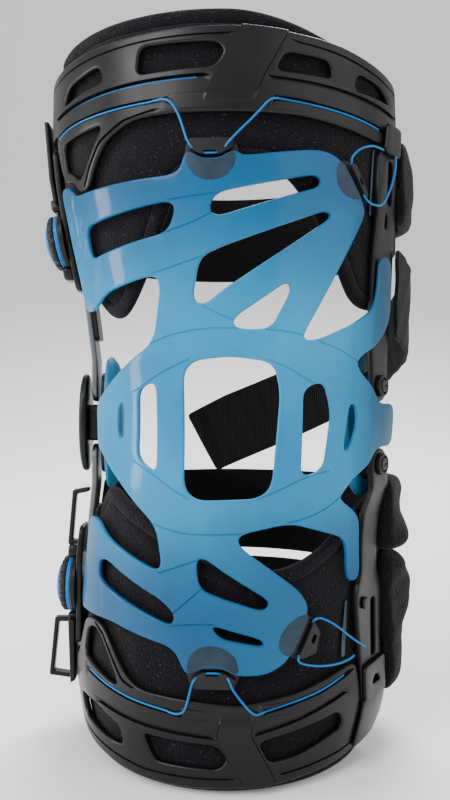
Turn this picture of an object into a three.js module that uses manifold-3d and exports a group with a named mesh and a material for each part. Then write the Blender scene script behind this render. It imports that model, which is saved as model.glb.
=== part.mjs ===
// Hinged knee brace: two moulded cuffs on padded liners, joined at each side by a link with two pivots,
// with an elastic web laced over the kneecap and straps round the back of the leg.
// +Z runs up the leg, -Y is the front of the knee and +X the side with the open hinge.
import * as THREE from "three";
import { mergeVertices } from "three/addons/utils/BufferGeometryUtils.js";
import Module from "manifold-3d";

const wasm = await Module();
wasm.setup();

// Driving dimensions, in millimetres and degrees
const height = 400;
const gap = 0.4;
const linerThick = 6;
const shellSeat = 1;
const shellFace = 4.6;
const badgeRise = 1;
const webThick = 2.6;
const webSeat = 3.2;
const strapThick = 4;
const armThick = 3.5;
const laceRadius = 0.8;
const kneeHeight = 187;
const pivotSpread = 44;
const pivotRadius = 3.2;
const armEndRadius = 9;
const linkThick = 2.5;
const linkRadius = 10;
const dialRadius = 16.5;
const dialThick = 9.5;
const degreeLength = 1.55; // length round the leg of one degree, for corner radii

const upperPivot = kneeHeight + pivotSpread / 2;
const lowerPivot = kneeHeight - pivotSpread / 2;

// Middle of each hinge link, with the angle that its outer face is turned towards the front
// and the distance of the arms' inner faces out of that middle
const leftHinge = { x: -75, y: 0, turn: 0, side: -1, reach: 3.4 };
const rightHinge = { x: 80.8, y: -40, turn: 37, side: 1, reach: 4.9 };

// The padding's outer surface: half-widths and depths round the leg at each height
const surfaceRows = [
  { z: -20, left: 78, right: 81, front: 83, back: 74 },
  { z: 0, left: 80, right: 84, front: 83, back: 76 },
  { z: 40, left: 86, right: 95, front: 83, back: 80 },
  { z: 75, left: 84, right: 93, front: 81, back: 82 },
  { z: 130, left: 79, right: 92, front: 83, back: 82 },
  { z: 187, left: 74, right: 97, front: 85, back: 80 },
  { z: 250, left: 82, right: 100, front: 82, back: 82 },
  { z: 300, left: 93, right: 102, front: 81.5, back: 86 },
  { z: 345, left: 100.5, right: 104, front: 83, back: 88 },
  { z: 420, left: 100, right: 101, front: 83, back: 88 },
];

const colours = {
  cloth: { color: 0x17161b, roughness: 0.95, metalness: 0 },
  frame: { color: 0x2b2c2e, roughness: 0.42, metalness: 0.1 },
  steel: { color: 0xa9adb2, roughness: 0.35, metalness: 0.9 },
  web: { color: 0x3d9fd6, roughness: 0.3, metalness: 0 },
  lace: { color: 0x1b86dc, roughness: 0.5, metalness: 0 },
  lug: { color: 0x1f2023, roughness: 0.5, metalness: 0 },
  strap: { color: 0x101013, roughness: 0.95, metalness: 0 },
  pad: { color: 0x2f86a8, roughness: 0.6, metalness: 0 },
};

const brace = new THREE.Group();

function addPiece(name, geometry, finish) {
  const mesh = new THREE.Mesh(geometry, new THREE.MeshStandardMaterial(colours[finish]));
  mesh.name = name;
  brace.add(mesh);
  return mesh;
}

// Solids: closed meshes joined and cut
function solidOf(geometry) {
  const bare = new THREE.BufferGeometry();
  bare.setAttribute("position", geometry.getAttribute("position").clone());
  if (geometry.index) bare.setIndex(geometry.index.clone());
  const merged = mergeVertices(bare, 1e-4);
  const mesh = new wasm.Mesh({
    numProp: 3,
    vertProperties: merged.attributes.position.array,
    triVerts: new Uint32Array(merged.index.array),
  });
  return new wasm.Manifold(mesh);
}

function geometryOf(solid) {
  const mesh = solid.getMesh();
  const geometry = new THREE.BufferGeometry();
  geometry.setAttribute("position", new THREE.BufferAttribute(new Float32Array(mesh.vertProperties), 3));
  geometry.setIndex(new THREE.BufferAttribute(new Uint32Array(mesh.triVerts), 1));
  return geometry;
}

function joined(first, ...others) {
  return geometryOf(others.reduce((solid, other) => solid.add(solidOf(other)), solidOf(first)));
}

// Smooth value of a column at a place, through rows that are sorted by that place
function smoothColumn(rows, place, at, column) {
  const last = rows.length - 1;
  const found = rows.findIndex((row) => row[place] >= at);
  const k = Math.min(Math.max(found < 0 ? last : found, 1), last) - 1;
  const slope = (i) => {
    const low = rows[Math.max(i - 1, 0)];
    const high = rows[Math.min(i + 1, last)];
    return (high[column] - low[column]) / (high[place] - low[place]);
  };
  const span = rows[k + 1][place] - rows[k][place];
  const t = Math.min(Math.max((at - rows[k][place]) / span, 0), 1);
  const blend = t * t * (3 - 2 * t);
  const bulge = t * (1 - t) * span * (slope(k) * (1 - t) - slope(k + 1) * t);
  return rows[k][column] * (1 - blend) + rows[k + 1][column] * blend + bulge;
}

// Point of the leg: angle from the front (to the right positive), height, and distance out of the padding
function legPoint(angle, z, out) {
  const sine = Math.sin(THREE.MathUtils.degToRad(angle));
  const cosine = Math.cos(THREE.MathUtils.degToRad(angle));
  const width = smoothColumn(surfaceRows, "z", z, sine > 0 ? "right" : "left");
  const depth = smoothColumn(surfaceRows, "z", z, cosine > 0 ? "front" : "back");
  const normal = new THREE.Vector2(sine / width, -cosine / depth).normalize();
  return new THREE.Vector3(width * sine + normal.x * out, -depth * cosine + normal.y * out, z);
}

const valueAt = (value, angle, z) => (typeof value === "function" ? value(angle, z) : value);

// Closed solid from a grid of quads: corner(i, j, layer) gives a point of the inner (0) or outer (1) skin
function gridSolid(columns, rows, corner) {
  const positions = [];
  const index = [];
  const id = (i, j, layer) => (i * (rows + 1) + j) * 2 + layer;
  for (let i = 0; i <= columns; i += 1)
    for (let j = 0; j <= rows; j += 1)
      for (let layer = 0; layer < 2; layer += 1) positions.push(...corner(i, j, layer).toArray());
  const quad = (a, b, c, d) => index.push(a, b, c, a, c, d);
  for (let i = 0; i < columns; i += 1)
    for (let j = 0; j < rows; j += 1) {
      quad(id(i, j, 1), id(i + 1, j, 1), id(i + 1, j + 1, 1), id(i, j + 1, 1));
      quad(id(i, j, 0), id(i, j + 1, 0), id(i + 1, j + 1, 0), id(i + 1, j, 0));
    }
  for (let i = 0; i < columns; i += 1) {
    quad(id(i, 0, 0), id(i + 1, 0, 0), id(i + 1, 0, 1), id(i, 0, 1));
    quad(id(i, rows, 1), id(i + 1, rows, 1), id(i + 1, rows, 0), id(i, rows, 0));
  }
  for (let j = 0; j < rows; j += 1) {
    quad(id(0, j, 1), id(0, j + 1, 1), id(0, j + 1, 0), id(0, j, 0));
    quad(id(columns, j, 0), id(columns, j + 1, 0), id(columns, j + 1, 1), id(columns, j, 1));
  }
  const geometry = new THREE.BufferGeometry();
  geometry.setAttribute("position", new THREE.BufferAttribute(new Float32Array(positions), 3));
  geometry.setIndex(index);
  return geometry;
}

// Wall round the leg between two angles, with lower and upper edges that may change with the angle
function wall({ from, to, low, high, inner, outer, columns, rows }) {
  return gridSolid(columns, rows, (i, j, layer) => {
    const angle = from + ((to - from) * i) / columns;
    const bottom = valueAt(low, angle);
    const z = bottom + ((valueAt(high, angle) - bottom) * j) / rows;
    return legPoint(angle, z, valueAt(layer ? outer : inner, angle, z));
  });
}

// Flat outline of [angle, height] corners, each corner rounded to a radius; the angle laid out as a length
function roundedOutline(corners, radius, bend = 2) {
  const points = corners.map(([angle, z]) => new THREE.Vector2(angle * degreeLength, z));
  const outline = points.flatMap((point, i) => {
    const towards = (other) => {
      const distance = point.distanceTo(other);
      return point.clone().lerp(other, Math.min(radius, distance * 0.45) / distance);
    };
    const start = towards(points.at(i - 1));
    const end = towards(points[(i + 1) % points.length]);
    return new THREE.QuadraticBezierCurve(start, point, end).getPoints(bend);
  });
  return THREE.ShapeUtils.isClockWise(outline) ? outline.reverse() : outline;
}

// Part of a convex flat polygon on one side (1 right, -1 left) of the upright line at x
function beside(polygon, x, side) {
  return polygon.flatMap((point, i) => {
    const next = polygon[(i + 1) % polygon.length];
    const kept = (point.x - x) * side >= 0 ? [point] : [];
    if ((point.x - x) * (next.x - x) >= 0) return kept;
    const [low, high] = point.x < next.x ? [point, next] : [next, point];
    const crossing = low.clone().lerp(high, (x - low.x) / (high.x - low.x));
    return [...kept, crossing.setX(x)];
  });
}

// Triangle cut into strips along upright lines, as a list of triangles
function stripsOf(triangle, step) {
  const places = triangle.map((point) => point.x);
  const pieces = [];
  let rest = triangle;
  for (let x = (Math.floor(Math.min(...places) / step) + 1) * step; x < Math.max(...places); x += step) {
    pieces.push(beside(rest, x, -1));
    rest = beside(rest, x, 1);
  }
  pieces.push(rest);
  return pieces.flatMap((piece) => piece.slice(2).map((point, k) => [piece[0], piece[k + 1], point]));
}

// Sheet laid round the leg: a flat outline with openings, cut into upright strips and bent to the surface
function sheet({ outline, openings = [], inner, outer, strip = 16 }) {
  const shape = new THREE.Shape(outline);
  shape.holes = openings.map((opening) => new THREE.Path(opening));
  const flat = new THREE.ExtrudeGeometry(shape, { depth: 1, bevelEnabled: false }).getAttribute("position");
  const places = [];
  for (let k = 0; k < flat.count; k += 3) {
    const triangle = [0, 1, 2].map((corner) => new THREE.Vector3().fromBufferAttribute(flat, k + corner));
    stripsOf(triangle, strip).flat().forEach((point) => {
      const angle = point.x / degreeLength;
      const near = valueAt(inner, angle, point.y);
      const out = near + (valueAt(outer, angle, point.y) - near) * point.z;
      places.push(...legPoint(angle, point.y, out).toArray());
    });
  }
  const geometry = new THREE.BufferGeometry();
  geometry.setAttribute("position", new THREE.BufferAttribute(new Float32Array(places), 3));
  return mergeVertices(geometry, 1e-3);
}

// Bar of flat sections up the leg, one row each: middle, turn of the outer face, width and thickness
function bar(rows, side) {
  return gridSolid(1, rows.length - 1, (i, j, layer) => {
    const { x, y, z, turn, width, thick = armThick } = rows[j];
    const angle = THREE.MathUtils.degToRad(turn);
    const normal = new THREE.Vector3(side * Math.cos(angle), -Math.sin(angle), 0);
    const across = new THREE.Vector3(side * Math.sin(angle), Math.cos(angle), 0);
    const along = side > 0 ? i - 0.5 : 0.5 - i;
    return new THREE.Vector3(x, y, z)
      .addScaledVector(across, along * width)
      .addScaledVector(normal, (layer - 0.5) * thick);
  });
}

// Round plate in a hinge's own plane, between two distances out from the link's middle
function hingeDisc(hinge, z, radius, from, to, sides = 20) {
  const disc = new THREE.CylinderGeometry(radius, radius, to - from, sides);
  disc.rotateZ(-Math.PI / 2);
  disc.translate((from + to) / 2, 0, 0);
  return placedOnHinge(disc, hinge, z);
}

function placedOnHinge(geometry, hinge, z) {
  const turn = THREE.MathUtils.degToRad(hinge.turn);
  geometry.rotateZ(hinge.side > 0 ? -turn : Math.PI + turn);
  geometry.translate(hinge.x, hinge.y, z);
  return geometry;
}

// Point of a hinge's plane, out from the link's middle
function hingePoint(hinge, out) {
  const turn = THREE.MathUtils.degToRad(hinge.turn);
  return {
    x: hinge.x + hinge.side * Math.cos(turn) * out,
    y: hinge.y - Math.sin(turn) * out,
    turn: hinge.turn,
  };
}

// Pin along the axis that both hinges turn on, over a distance out of one hinge's link
const hingeAxis = new THREE.Vector3(rightHinge.x - leftHinge.x, rightHinge.y - leftHinge.y, 0).normalize();
function axisPin(hinge, z, radius, from, to) {
  const pin = new THREE.CylinderGeometry(radius, radius, to - from, 12);
  pin.rotateZ(-Math.PI / 2);
  pin.translate((from + to) / 2, 0, 0);
  pin.rotateZ(Math.atan2(hingeAxis.y * hinge.side, hingeAxis.x * hinge.side));
  pin.translate(hinge.x, hinge.y, z);
  return pin;
}

// Lace: a thin round tube through points
const laceSection = new THREE.Shape(new THREE.Path().absarc(0, 0, laceRadius, 0, Math.PI * 2).getPoints(3));
function lace(points, steps) {
  const path = new THREE.CatmullRomCurve3(points, false, "centripetal");
  const options = { extrudePath: path, steps, curveSegments: 4, bevelEnabled: false };
  return new THREE.ExtrudeGeometry(laceSection, options);
}

// Thigh liner: padded cloth, low at the sides and cut away over the kneecap
const thighLinerHem = [
  { angle: -98, z: 292 },
  { angle: -78, z: 286 },
  { angle: -62, z: 258 },
  { angle: -46, z: 246 },
  { angle: -30, z: 268 },
  { angle: -14, z: 313 },
  { angle: 2, z: 322 },
  { angle: 18, z: 318 },
  { angle: 32, z: 290 },
  { angle: 45, z: 256 },
  { angle: 66, z: 252 },
];
addPiece(
  "thigh_liner",
  wall({
    from: -98,
    to: 66,
    low: (angle) => smoothColumn(thighLinerHem, "angle", angle, "z"),
    high: height,
    inner: -linerThick,
    outer: 0,
    columns: 28,
    rows: 3,
  }),
  "cloth",
);

// Thigh shell: a front band with long windows, a badge, and a leg down each side
const thighShellOutline = roundedOutline(
  [
    [-96, 386],
    [-60, 388.5],
    [-24, 390],
    [3, 391],
    [33, 388],
    [66, 381],
    [66, 342],
    [47, 343],
    [22, 347],
    [-19, 347],
    [-30, 345],
    [-42, 336],
    [-50, 324],
    [-64, 324],
    [-67, 356],
    [-96, 356],
  ],
  6,
);
const thighWindows = [
  [[-26, 369], [-25, 383], [-2, 382.5], [0, 378], [-3, 370]],
  [[-60, 366], [-56, 375], [-40, 379], [-38, 370]],
  [[14, 369], [17, 379], [31, 378], [32, 369]],
  [[40, 366], [42, 376], [54, 374], [60, 367]],
  [[-57, 343], [-40, 348], [-42, 342], [-52, 331], [-57, 330]],
];
const thighBadge = roundedOutline([[5, 391], [19, 389], [9, 349], [-7, 349], [-2, 368]], 1, 1);
addPiece(
  "thigh_shell",
  joined(
    sheet({
      outline: thighShellOutline,
      openings: thighWindows.map((corners) => roundedOutline(corners, 4, 1)),
      inner: shellSeat,
      outer: shellFace,
      strip: 20,
    }),
    sheet({ outline: thighBadge, inner: shellSeat + 1, outer: shellFace + badgeRise }),
  ),
  "frame",
);

// Shin liner and shell, the liner's lower hem being what the brace stands on
const shinLinerHem = [
  { angle: -98, z: 104 },
  { angle: -79, z: 108 },
  { angle: -66, z: 140 },
  { angle: -60, z: 146 },
  { angle: -45, z: 132 },
  { angle: -25, z: 118 },
  { angle: 0, z: 113 },
  { angle: 20, z: 113 },
  { angle: 35, z: 122 },
  { angle: 50, z: 138 },
  { angle: 66, z: 145 },
];
addPiece(
  "shin_liner",
  wall({
    from: -98,
    to: 66,
    low: 0,
    high: (angle) => smoothColumn(shinLinerHem, "angle", angle, "z"),
    inner: -linerThick,
    outer: 0,
    columns: 28,
    rows: 4,
  }),
  "cloth",
);
const shinShellOutline = roundedOutline(
  [
    [-94, 18],
    [-62, 9],
    [-30, 4],
    [14, 4],
    [42, 8],
    [66, 16],
    [66, 28],
    [49, 30],
    [46, 60],
    [38, 57],
    [22, 50],
    [4, 46],
    [-14, 49],
    [-34, 51],
    [-46, 60],
    [-54, 74],
    [-66, 74],
    [-72, 50],
    [-94, 48],
  ],
  6,
);
const shinWindows = [
  [[-66, 32], [-52, 33], [-39, 27], [-38, 18], [-48, 17], [-64, 20]],
  [[-29, 28], [-3, 26], [1, 19], [-2, 14], [-25, 15]],
  [[10, 27], [38, 36], [41, 27], [24, 18], [14, 16]],
  [[-61, 52], [-48, 53], [-40, 48], [-52, 60], [-60, 66]],
];
const shinBadge = roundedOutline([[-1, 46], [-3, 30], [6, 6], [17, 6], [8, 31], [8, 46]], 1, 1);
addPiece(
  "shin_shell",
  joined(
    sheet({
      outline: shinShellOutline,
      openings: shinWindows.map((corners) => roundedOutline(corners, 4, 1)),
      inner: shellSeat,
      outer: shellFace,
      strip: 20,
    }),
    sheet({ outline: shinBadge, inner: shellSeat + 1, outer: shellFace + badgeRise }),
  ),
  "frame",
);

// Elastic web: outline and openings as [angle, height] corners, lifted over the right arm's plate
const webOutline = [
  [-67, 322], [-59, 321], [-56, 314], [-14, 316], [-11, 326], [4, 327], [28, 330], [36, 325], [44, 308],
  [45, 300], [22, 232], [27, 232], [50, 248], [56, 262], [57, 284], [66, 284], [66, 246], [58, 236],
  [43, 223], [44, 217], [50, 206], [53, 199], [66, 199], [66, 175], [53, 175], [50, 168], [38, 150],
  [39, 147], [51, 139], [52, 103], [44, 103], [43, 127], [20, 138], [4, 133], [4, 127], [24, 102], [27, 92],
  [20, 68], [13, 61], [-12, 62], [-17, 74], [-44, 82], [-70, 81], [-70, 134], [-58, 135], [-50, 127],
  [-34, 118], [-22, 112], [-25, 136], [-44, 157], [-58, 170], [-68, 176], [-68, 198], [-56, 206], [-26, 231],
  [-22, 260], [-24, 266], [-47, 259], [-56, 251], [-65, 251],
];
const webOpenings = {
  upperLeft: [[-52, 296], [-17, 303], [-15, 299], [-18, 287], [-52, 278]],
  upperMiddle: [[-3, 306], [27, 318], [28, 312], [-2, 294], [-5, 297]],
  upperLarge: [[-8, 274], [30, 300], [32, 297], [-7, 249], [-11, 252]],
  upperSmall: [[18, 262], [19, 257], [13, 237], [3, 237], [2, 242]],
  kneecap: [
    [-15, 215], [-11, 221], [2, 223], [14, 220], [16, 205], [14, 157], [10, 151], [-10, 150], [-15, 156],
  ],
  ringLeft: [[-34, 207], [-26, 211], [-26, 163], [-35, 171]],
  slitLeft: [[-46, 198], [-42, 201], [-43, 178], [-47, 183]],
  ringRight: [[23, 207], [30, 211], [33, 195], [31, 165], [23, 161]],
  slitRight: [[40, 199], [43, 199], [44, 188], [41, 174], [38, 174]],
  lowerLeft: [[-54, 113], [-54, 103], [-18, 85], [-17, 91], [-22, 98], [-48, 114]],
  lowerMiddle: [[-10, 120], [-7, 121], [14, 98], [12, 93], [-9, 105]],
  lowerSmall: [[-5, 87], [11, 79], [12, 75], [-2, 80]],
};
const webLift = { from: 43, to: 49, height: 3 };
const webInner = (angle) => {
  const t = THREE.MathUtils.smoothstep(angle, webLift.from, webLift.to);
  return webSeat + webLift.height * t;
};
addPiece(
  "web",
  sheet({
    outline: roundedOutline(webOutline, 4),
    openings: Object.values(webOpenings).map((corners) => roundedOutline(corners, 4, 1)),
    inner: webInner,
    outer: (angle) => webInner(angle) + webThick,
    strip: 22,
  }),
  "web",
);

// Lugs under the web's corners, each with a free edge for a lace
const lugOutlines = {
  lug_top: [[-13, 332], [5, 332], [6, 322], [2, 308], [-10, 308], [-14, 322]],
  lug_upper_right: [[34, 331], [43, 328], [47, 312], [43, 303], [36, 310]],
  lug_bottom: [[-12, 76], [3, 76], [5, 64], [4, 54], [-12, 54], [-14, 64]],
  lug_lower_right: [[18, 87], [26, 90], [31, 80], [29, 67], [21, 64]],
};
const lugSeat = 2 * gap;
const lugFace = webSeat - 2 * gap;
Object.entries(lugOutlines).forEach(([name, corners]) => {
  addPiece(name, sheet({ outline: roundedOutline(corners, 5), inner: lugSeat, outer: lugFace }), "lug");
});

// Laces from the shells to the lugs, as points of angle, height and distance out
const laceRuns = {
  lace_top: [
    [-18, 354, 5.8], [-15.5, 350, 6], [-13, 340, 5], [-10.5, 332, 4.2], [-7, 329.6, 4.2], [-1, 329.3, 4.2],
    [3, 330.5, 4.2], [7, 336, 5], [11.5, 346, 6], [14, 351, 6.4], [15, 354, 5.8],
  ],
  lace_upper_right: [[36, 328, 3.6], [39, 334, 5], [43, 338, 5.8], [47, 339, 6.4]],
  lace_upper_side: [
    [45.8, 311, 4], [47.6, 306.5, 6.8], [52, 309, 8.4], [56, 318, 8.6], [59, 330, 8.6], [60, 337, 8.4],
  ],
  lace_bottom: [
    [-20, 43, 5.8], [-16.5, 47, 6], [-14, 52, 5], [-10, 57, 4.2], [-5, 58, 4.2], [0, 58, 4.2], [3, 56, 4.4],
    [7, 50, 6], [10, 45, 6.4], [13, 43, 5.8],
  ],
  lace_lower_right: [[22, 67, 3.6], [25, 63.5, 5], [31, 62.5, 6], [38, 63.5, 6.4], [44, 66, 6.4]],
  lace_lower_side: [[28, 86, 4.2], [34, 84.5, 5], [41, 77, 6], [46, 70, 6.6], [49, 67, 6.8]],
};
Object.entries(laceRuns).forEach(([name, run]) => {
  const points = run.map(([angle, z, out]) => legPoint(angle, z, out));
  addPiece(name, lace(points, run.length * 2), "lace");
});

// Hinge links: a plate with a round end on each pivot and a pin out to each arm
function link(hinge, pinLength, ...extras) {
  const half = linkThick / 2;
  const plate = new THREE.BoxGeometry(linkThick, 2 * linkRadius, pivotSpread);
  return joined(
    placedOnHinge(plate, hinge, kneeHeight),
    hingeDisc(hinge, upperPivot, linkRadius, -half, half),
    hingeDisc(hinge, lowerPivot, linkRadius, -half, half),
    axisPin(hinge, upperPivot, pivotRadius, 0, pinLength),
    axisPin(hinge, lowerPivot, pivotRadius, 0, pinLength),
    ...extras,
  );
}
const coverSeat = 9.4;
const pinLength = { left: 2.3, right: 3.2 };
const coverPin = axisPin(leftHinge, kneeHeight, 2.5, 0, coverSeat - 2 * gap);
addPiece("left_link", link(leftHinge, pinLength.left, coverPin), "frame");
addPiece("right_link", link(rightHinge, pinLength.right), "frame");

// Domed oval, from a round profile stretched along the leg
function dome(hinge, profile, stretch) {
  const geometry = new THREE.LatheGeometry(profile.map(([r, h]) => new THREE.Vector2(r, h)), 24);
  geometry.rotateZ(-Math.PI / 2);
  geometry.scale(1, 1, stretch);
  return placedOnHinge(mergeVertices(geometry, 1e-4), hinge, kneeHeight);
}
const coverProfile = [
  [0, coverSeat], [14, coverSeat], [14, coverSeat + 1.6], [12.5, coverSeat + 3], [0, coverSeat + 3.8],
];
addPiece("left_hinge_cover", dome(leftHinge, coverProfile, 2.15), "frame");
const padProfile = [[0, -10.5], [11, -9.6], [17.5, -7], [19.5, -4], [19, -1.7], [0, -1.7]];
addPiece("left_condyle_pad", dome(leftHinge, padProfile, 2), "pad");
addPiece("right_condyle_pad", dome(rightHinge, padProfile, 2), "pad");

// Arms: flat bars, each with a round end on its pivot (side of the round: -1 below, 1 above)
function hingeRow(hinge, z, width = 2 * armEndRadius) {
  return { ...hingePoint(hinge, hinge.reach + armThick / 2), z, width };
}
const roundSteps = [84, 60, 40, 20];
function roundEnd(hinge, z, side) {
  const rows = roundSteps.map((degrees) => {
    const angle = THREE.MathUtils.degToRad(degrees);
    return hingeRow(hinge, z + side * armEndRadius * Math.sin(angle), 2 * armEndRadius * Math.cos(angle));
  });
  return side < 0 ? [...rows, hingeRow(hinge, z)] : [hingeRow(hinge, z), ...rows.reverse()];
}
const armRows = {
  left_thigh_bar: [
    ...roundEnd(leftHinge, upperPivot, -1),
    hingeRow(leftHinge, 226),
    { x: -87.6, y: 0, z: 282, turn: 0, width: 16 },
  ],
  left_shin_bar: [
    { x: -84.6, y: 0, z: 106, turn: 0, width: 16 },
    hingeRow(leftHinge, 150),
    ...roundEnd(leftHinge, lowerPivot, 1),
  ],
  left_thigh_arm: [
    { x: -89.6, y: 0, z: 268, turn: 0, width: 20 },
    { x: -95.6, y: 0, z: 300, turn: 0, width: 30 },
    { x: -100.6, y: 0, z: 330, turn: 0, width: 30 },
    { x: -103.2, y: 0, z: 353, turn: 0, width: 30 },
  ],
  left_shin_arm: [
    { x: -88.6, y: 0, z: 53, turn: 0, width: 30 },
    { x: -88.6, y: 0, z: 108, turn: 0, width: 30 },
    { x: -87.4, y: 0, z: 124, turn: 0, width: 22 },
  ],
  right_thigh_arm: [
    ...roundEnd(rightHinge, upperPivot, -1),
    hingeRow(rightHinge, 228, 20),
    { x: 86.6, y: -45, z: 250, turn: 38, width: 24 },
    { x: 87.6, y: -46.2, z: 290, turn: 38, width: 26 },
    { x: 89.3, y: -46.9, z: 340, turn: 38, width: 28 },
  ],
  right_shin_arm: [
    { x: 81.2, y: -46.8, z: 33, turn: 37, width: 24 },
    { x: 80, y: -46.6, z: 90, turn: 37, width: 24 },
    { x: 79.8, y: -46.8, z: 120, turn: 37, width: 20 },
    { x: 81, y: -46.6, z: 138, turn: 37, width: 20 },
    hingeRow(rightHinge, 152),
    ...roundEnd(rightHinge, lowerPivot, 1),
  ],
};
Object.entries(armRows).forEach(([name, rows]) => {
  const side = name.startsWith("left") ? leftHinge.side : rightHinge.side;
  addPiece(name, bar(rows, side), name.endsWith("bar") ? "steel" : "frame");
});
const screw = { radius: 6.2, thick: 2.4 };
const screwSeat = rightHinge.reach + armThick + gap;
const screwHead = (z) => hingeDisc(rightHinge, z, screw.radius, screwSeat, screwSeat + screw.thick);
addPiece("right_upper_screw", screwHead(upperPivot), "steel");
addPiece("right_lower_screw", screwHead(lowerPivot), "steel");

// Tightening dials on the left arms: a base plate and a knob
const dialBase = { radius: 18.5, thick: 3 };
function dialPiece(x, z, lean, profile) {
  const geometry = new THREE.LatheGeometry(profile.map(([r, h]) => new THREE.Vector2(r, h)), 24);
  geometry.rotateZ(Math.PI / 2);
  geometry.rotateY(THREE.MathUtils.degToRad(-lean));
  geometry.translate(x, 0, z);
  return mergeVertices(geometry, 1e-4);
}
const baseFrom = armThick / 2 + gap;
const baseTo = baseFrom + dialBase.thick;
const baseProfile = [[0, baseFrom], [dialBase.radius, baseFrom], [dialBase.radius, baseTo], [0, baseTo]];
const knobFrom = baseTo + gap;
const knobTo = knobFrom + dialThick;
const knobProfile = [
  [0, knobFrom], [dialRadius - 0.6, knobFrom], [dialRadius, knobFrom + 2], [dialRadius - 1.2, knobTo - 1.6],
  [dialRadius - 3, knobTo], [0, knobTo],
];
const dialPlaces = [
  { name: "upper_dial", x: -95.6, z: 300, lean: 9.4 },
  { name: "lower_dial", x: -88.7, z: 87, lean: 0 },
];
dialPlaces.forEach(({ name, x, z, lean }) => {
  addPiece(`${name}_base`, dialPiece(x, z, lean, baseProfile), "frame");
  addPiece(`${name}_knob`, dialPiece(x, z, lean, knobProfile), "frame");
});

// Strap fittings on the left: flat outlines of [x, height] corners, as deep as given
function fitting(corners, depth) {
  const shape = new THREE.Shape(corners.map(([x, z]) => new THREE.Vector2(x, z)));
  const geometry = new THREE.ExtrudeGeometry(shape, { depth, bevelEnabled: false });
  geometry.rotateX(Math.PI / 2);
  geometry.translate(0, depth / 2, 0);
  return geometry;
}
const fittings = {
  thigh_bracket: {
    depth: 24,
    corners: [[-101.9, 322], [-105, 322], [-107.5, 336], [-110.5, 371], [-107.6, 371], [-104.6, 336]],
  },
  shin_bracket: {
    depth: 24,
    corners: [[-91.6, 67], [-91.2, 30], [-94.6, 28], [-96, 67]],
  },
  upper_ring: {
    depth: 6,
    corners: [
      [-84.4, 147], [-95, 145], [-98, 111], [-90.6, 111], [-90.4, 114], [-94.8, 114], [-92.4, 142.4],
      [-84.4, 144],
    ],
  },
  lower_ring: {
    depth: 6,
    corners: [
      [-96.6, 66], [-106, 66], [-109.5, 30], [-95.4, 28], [-95.4, 31], [-106.4, 32.8], [-103.4, 63],
      [-96.6, 63],
    ],
  },
};
Object.entries(fittings).forEach(([name, { corners, depth }]) => {
  addPiece(name, fitting(corners, depth), "frame");
});

// Straps round the back, each swelling where it is folded over at the right arm
const fold = { angle: 80, spread: 11, height: 5 };
const foldRise = (angle) => fold.height * Math.exp(-(((angle - fold.angle) / fold.spread) ** 2));
const backStraps = [
  { name: "thigh_strap", from: 67, to: 260, low: 289, high: 351 },
  { name: "calf_upper_strap", from: 66.4, to: 259.3, low: 92, high: 150 },
  { name: "calf_lower_strap", from: 66.4, to: 259.3, low: 34, high: 86 },
];
backStraps.forEach(({ name, ...reach }) => {
  const outer = (angle) => gap + strapThick + foldRise(angle);
  addPiece(name, wall({ ...reach, inner: gap, outer, columns: 28, rows: 1 }), "strap");
});

// Knee strap: its free end hangs across the back of the knee
const kneeStrapCorners = [[68, 284], [200, 190], [184, 148], [68, 234]];
const kneeStrapOut = (angle) => gap + strapThick + 1 + foldRise(angle);
addPiece(
  "knee_strap",
  sheet({
    outline: roundedOutline(kneeStrapCorners, 3),
    inner: kneeStrapOut,
    outer: (angle) => kneeStrapOut(angle) + webThick,
    strip: 26,
  }),
  "strap",
);

// The foot of the brace, in the middle of its footprint, is the origin
const bounds = new THREE.Box3().setFromObject(brace, true);
const middle = bounds.getCenter(new THREE.Vector3());
brace.position.set(-middle.x, -middle.y, -bounds.min.z);
brace.updateMatrixWorld(true);

export default brace;
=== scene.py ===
import bpy
import bmesh
import math
import numpy as np
from mathutils import Matrix, Vector, geometry


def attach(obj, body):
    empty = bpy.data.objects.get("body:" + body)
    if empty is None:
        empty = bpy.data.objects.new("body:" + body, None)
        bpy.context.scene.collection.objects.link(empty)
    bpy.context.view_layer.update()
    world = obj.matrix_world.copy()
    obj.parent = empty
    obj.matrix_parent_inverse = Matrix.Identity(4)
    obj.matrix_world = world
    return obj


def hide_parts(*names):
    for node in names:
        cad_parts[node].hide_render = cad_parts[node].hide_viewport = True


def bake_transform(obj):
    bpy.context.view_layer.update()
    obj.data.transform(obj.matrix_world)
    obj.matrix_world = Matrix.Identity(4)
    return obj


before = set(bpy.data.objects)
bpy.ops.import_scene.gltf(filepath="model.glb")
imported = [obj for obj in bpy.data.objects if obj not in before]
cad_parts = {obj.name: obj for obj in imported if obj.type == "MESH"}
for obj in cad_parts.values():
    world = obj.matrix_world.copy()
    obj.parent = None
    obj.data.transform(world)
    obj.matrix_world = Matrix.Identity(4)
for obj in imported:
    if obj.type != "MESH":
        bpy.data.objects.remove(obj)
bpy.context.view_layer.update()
print("frame loaded")

# Flat layouts are in millimetres: x is the angle round the leg times degreeLength, y is the height.
mm = 0.001
degreeLength = 1.55
shift = np.array([-0.0022, -1.3264, 0.0])  # from the leg's axis to the middle of the part's box
surfaceRows = np.array([
    # height, left, right, front, back
    [-20, 78, 81, 83, 74], [0, 80, 84, 83, 76], [40, 86, 95, 83, 80], [75, 84, 93, 81, 82],
    [130, 79, 92, 83, 82], [187, 74, 97, 85, 80], [250, 82, 100, 82, 82], [300, 93, 102, 81.5, 86],
    [345, 100.5, 104, 83, 88], [420, 100, 101, 83, 88]], float)


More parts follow.
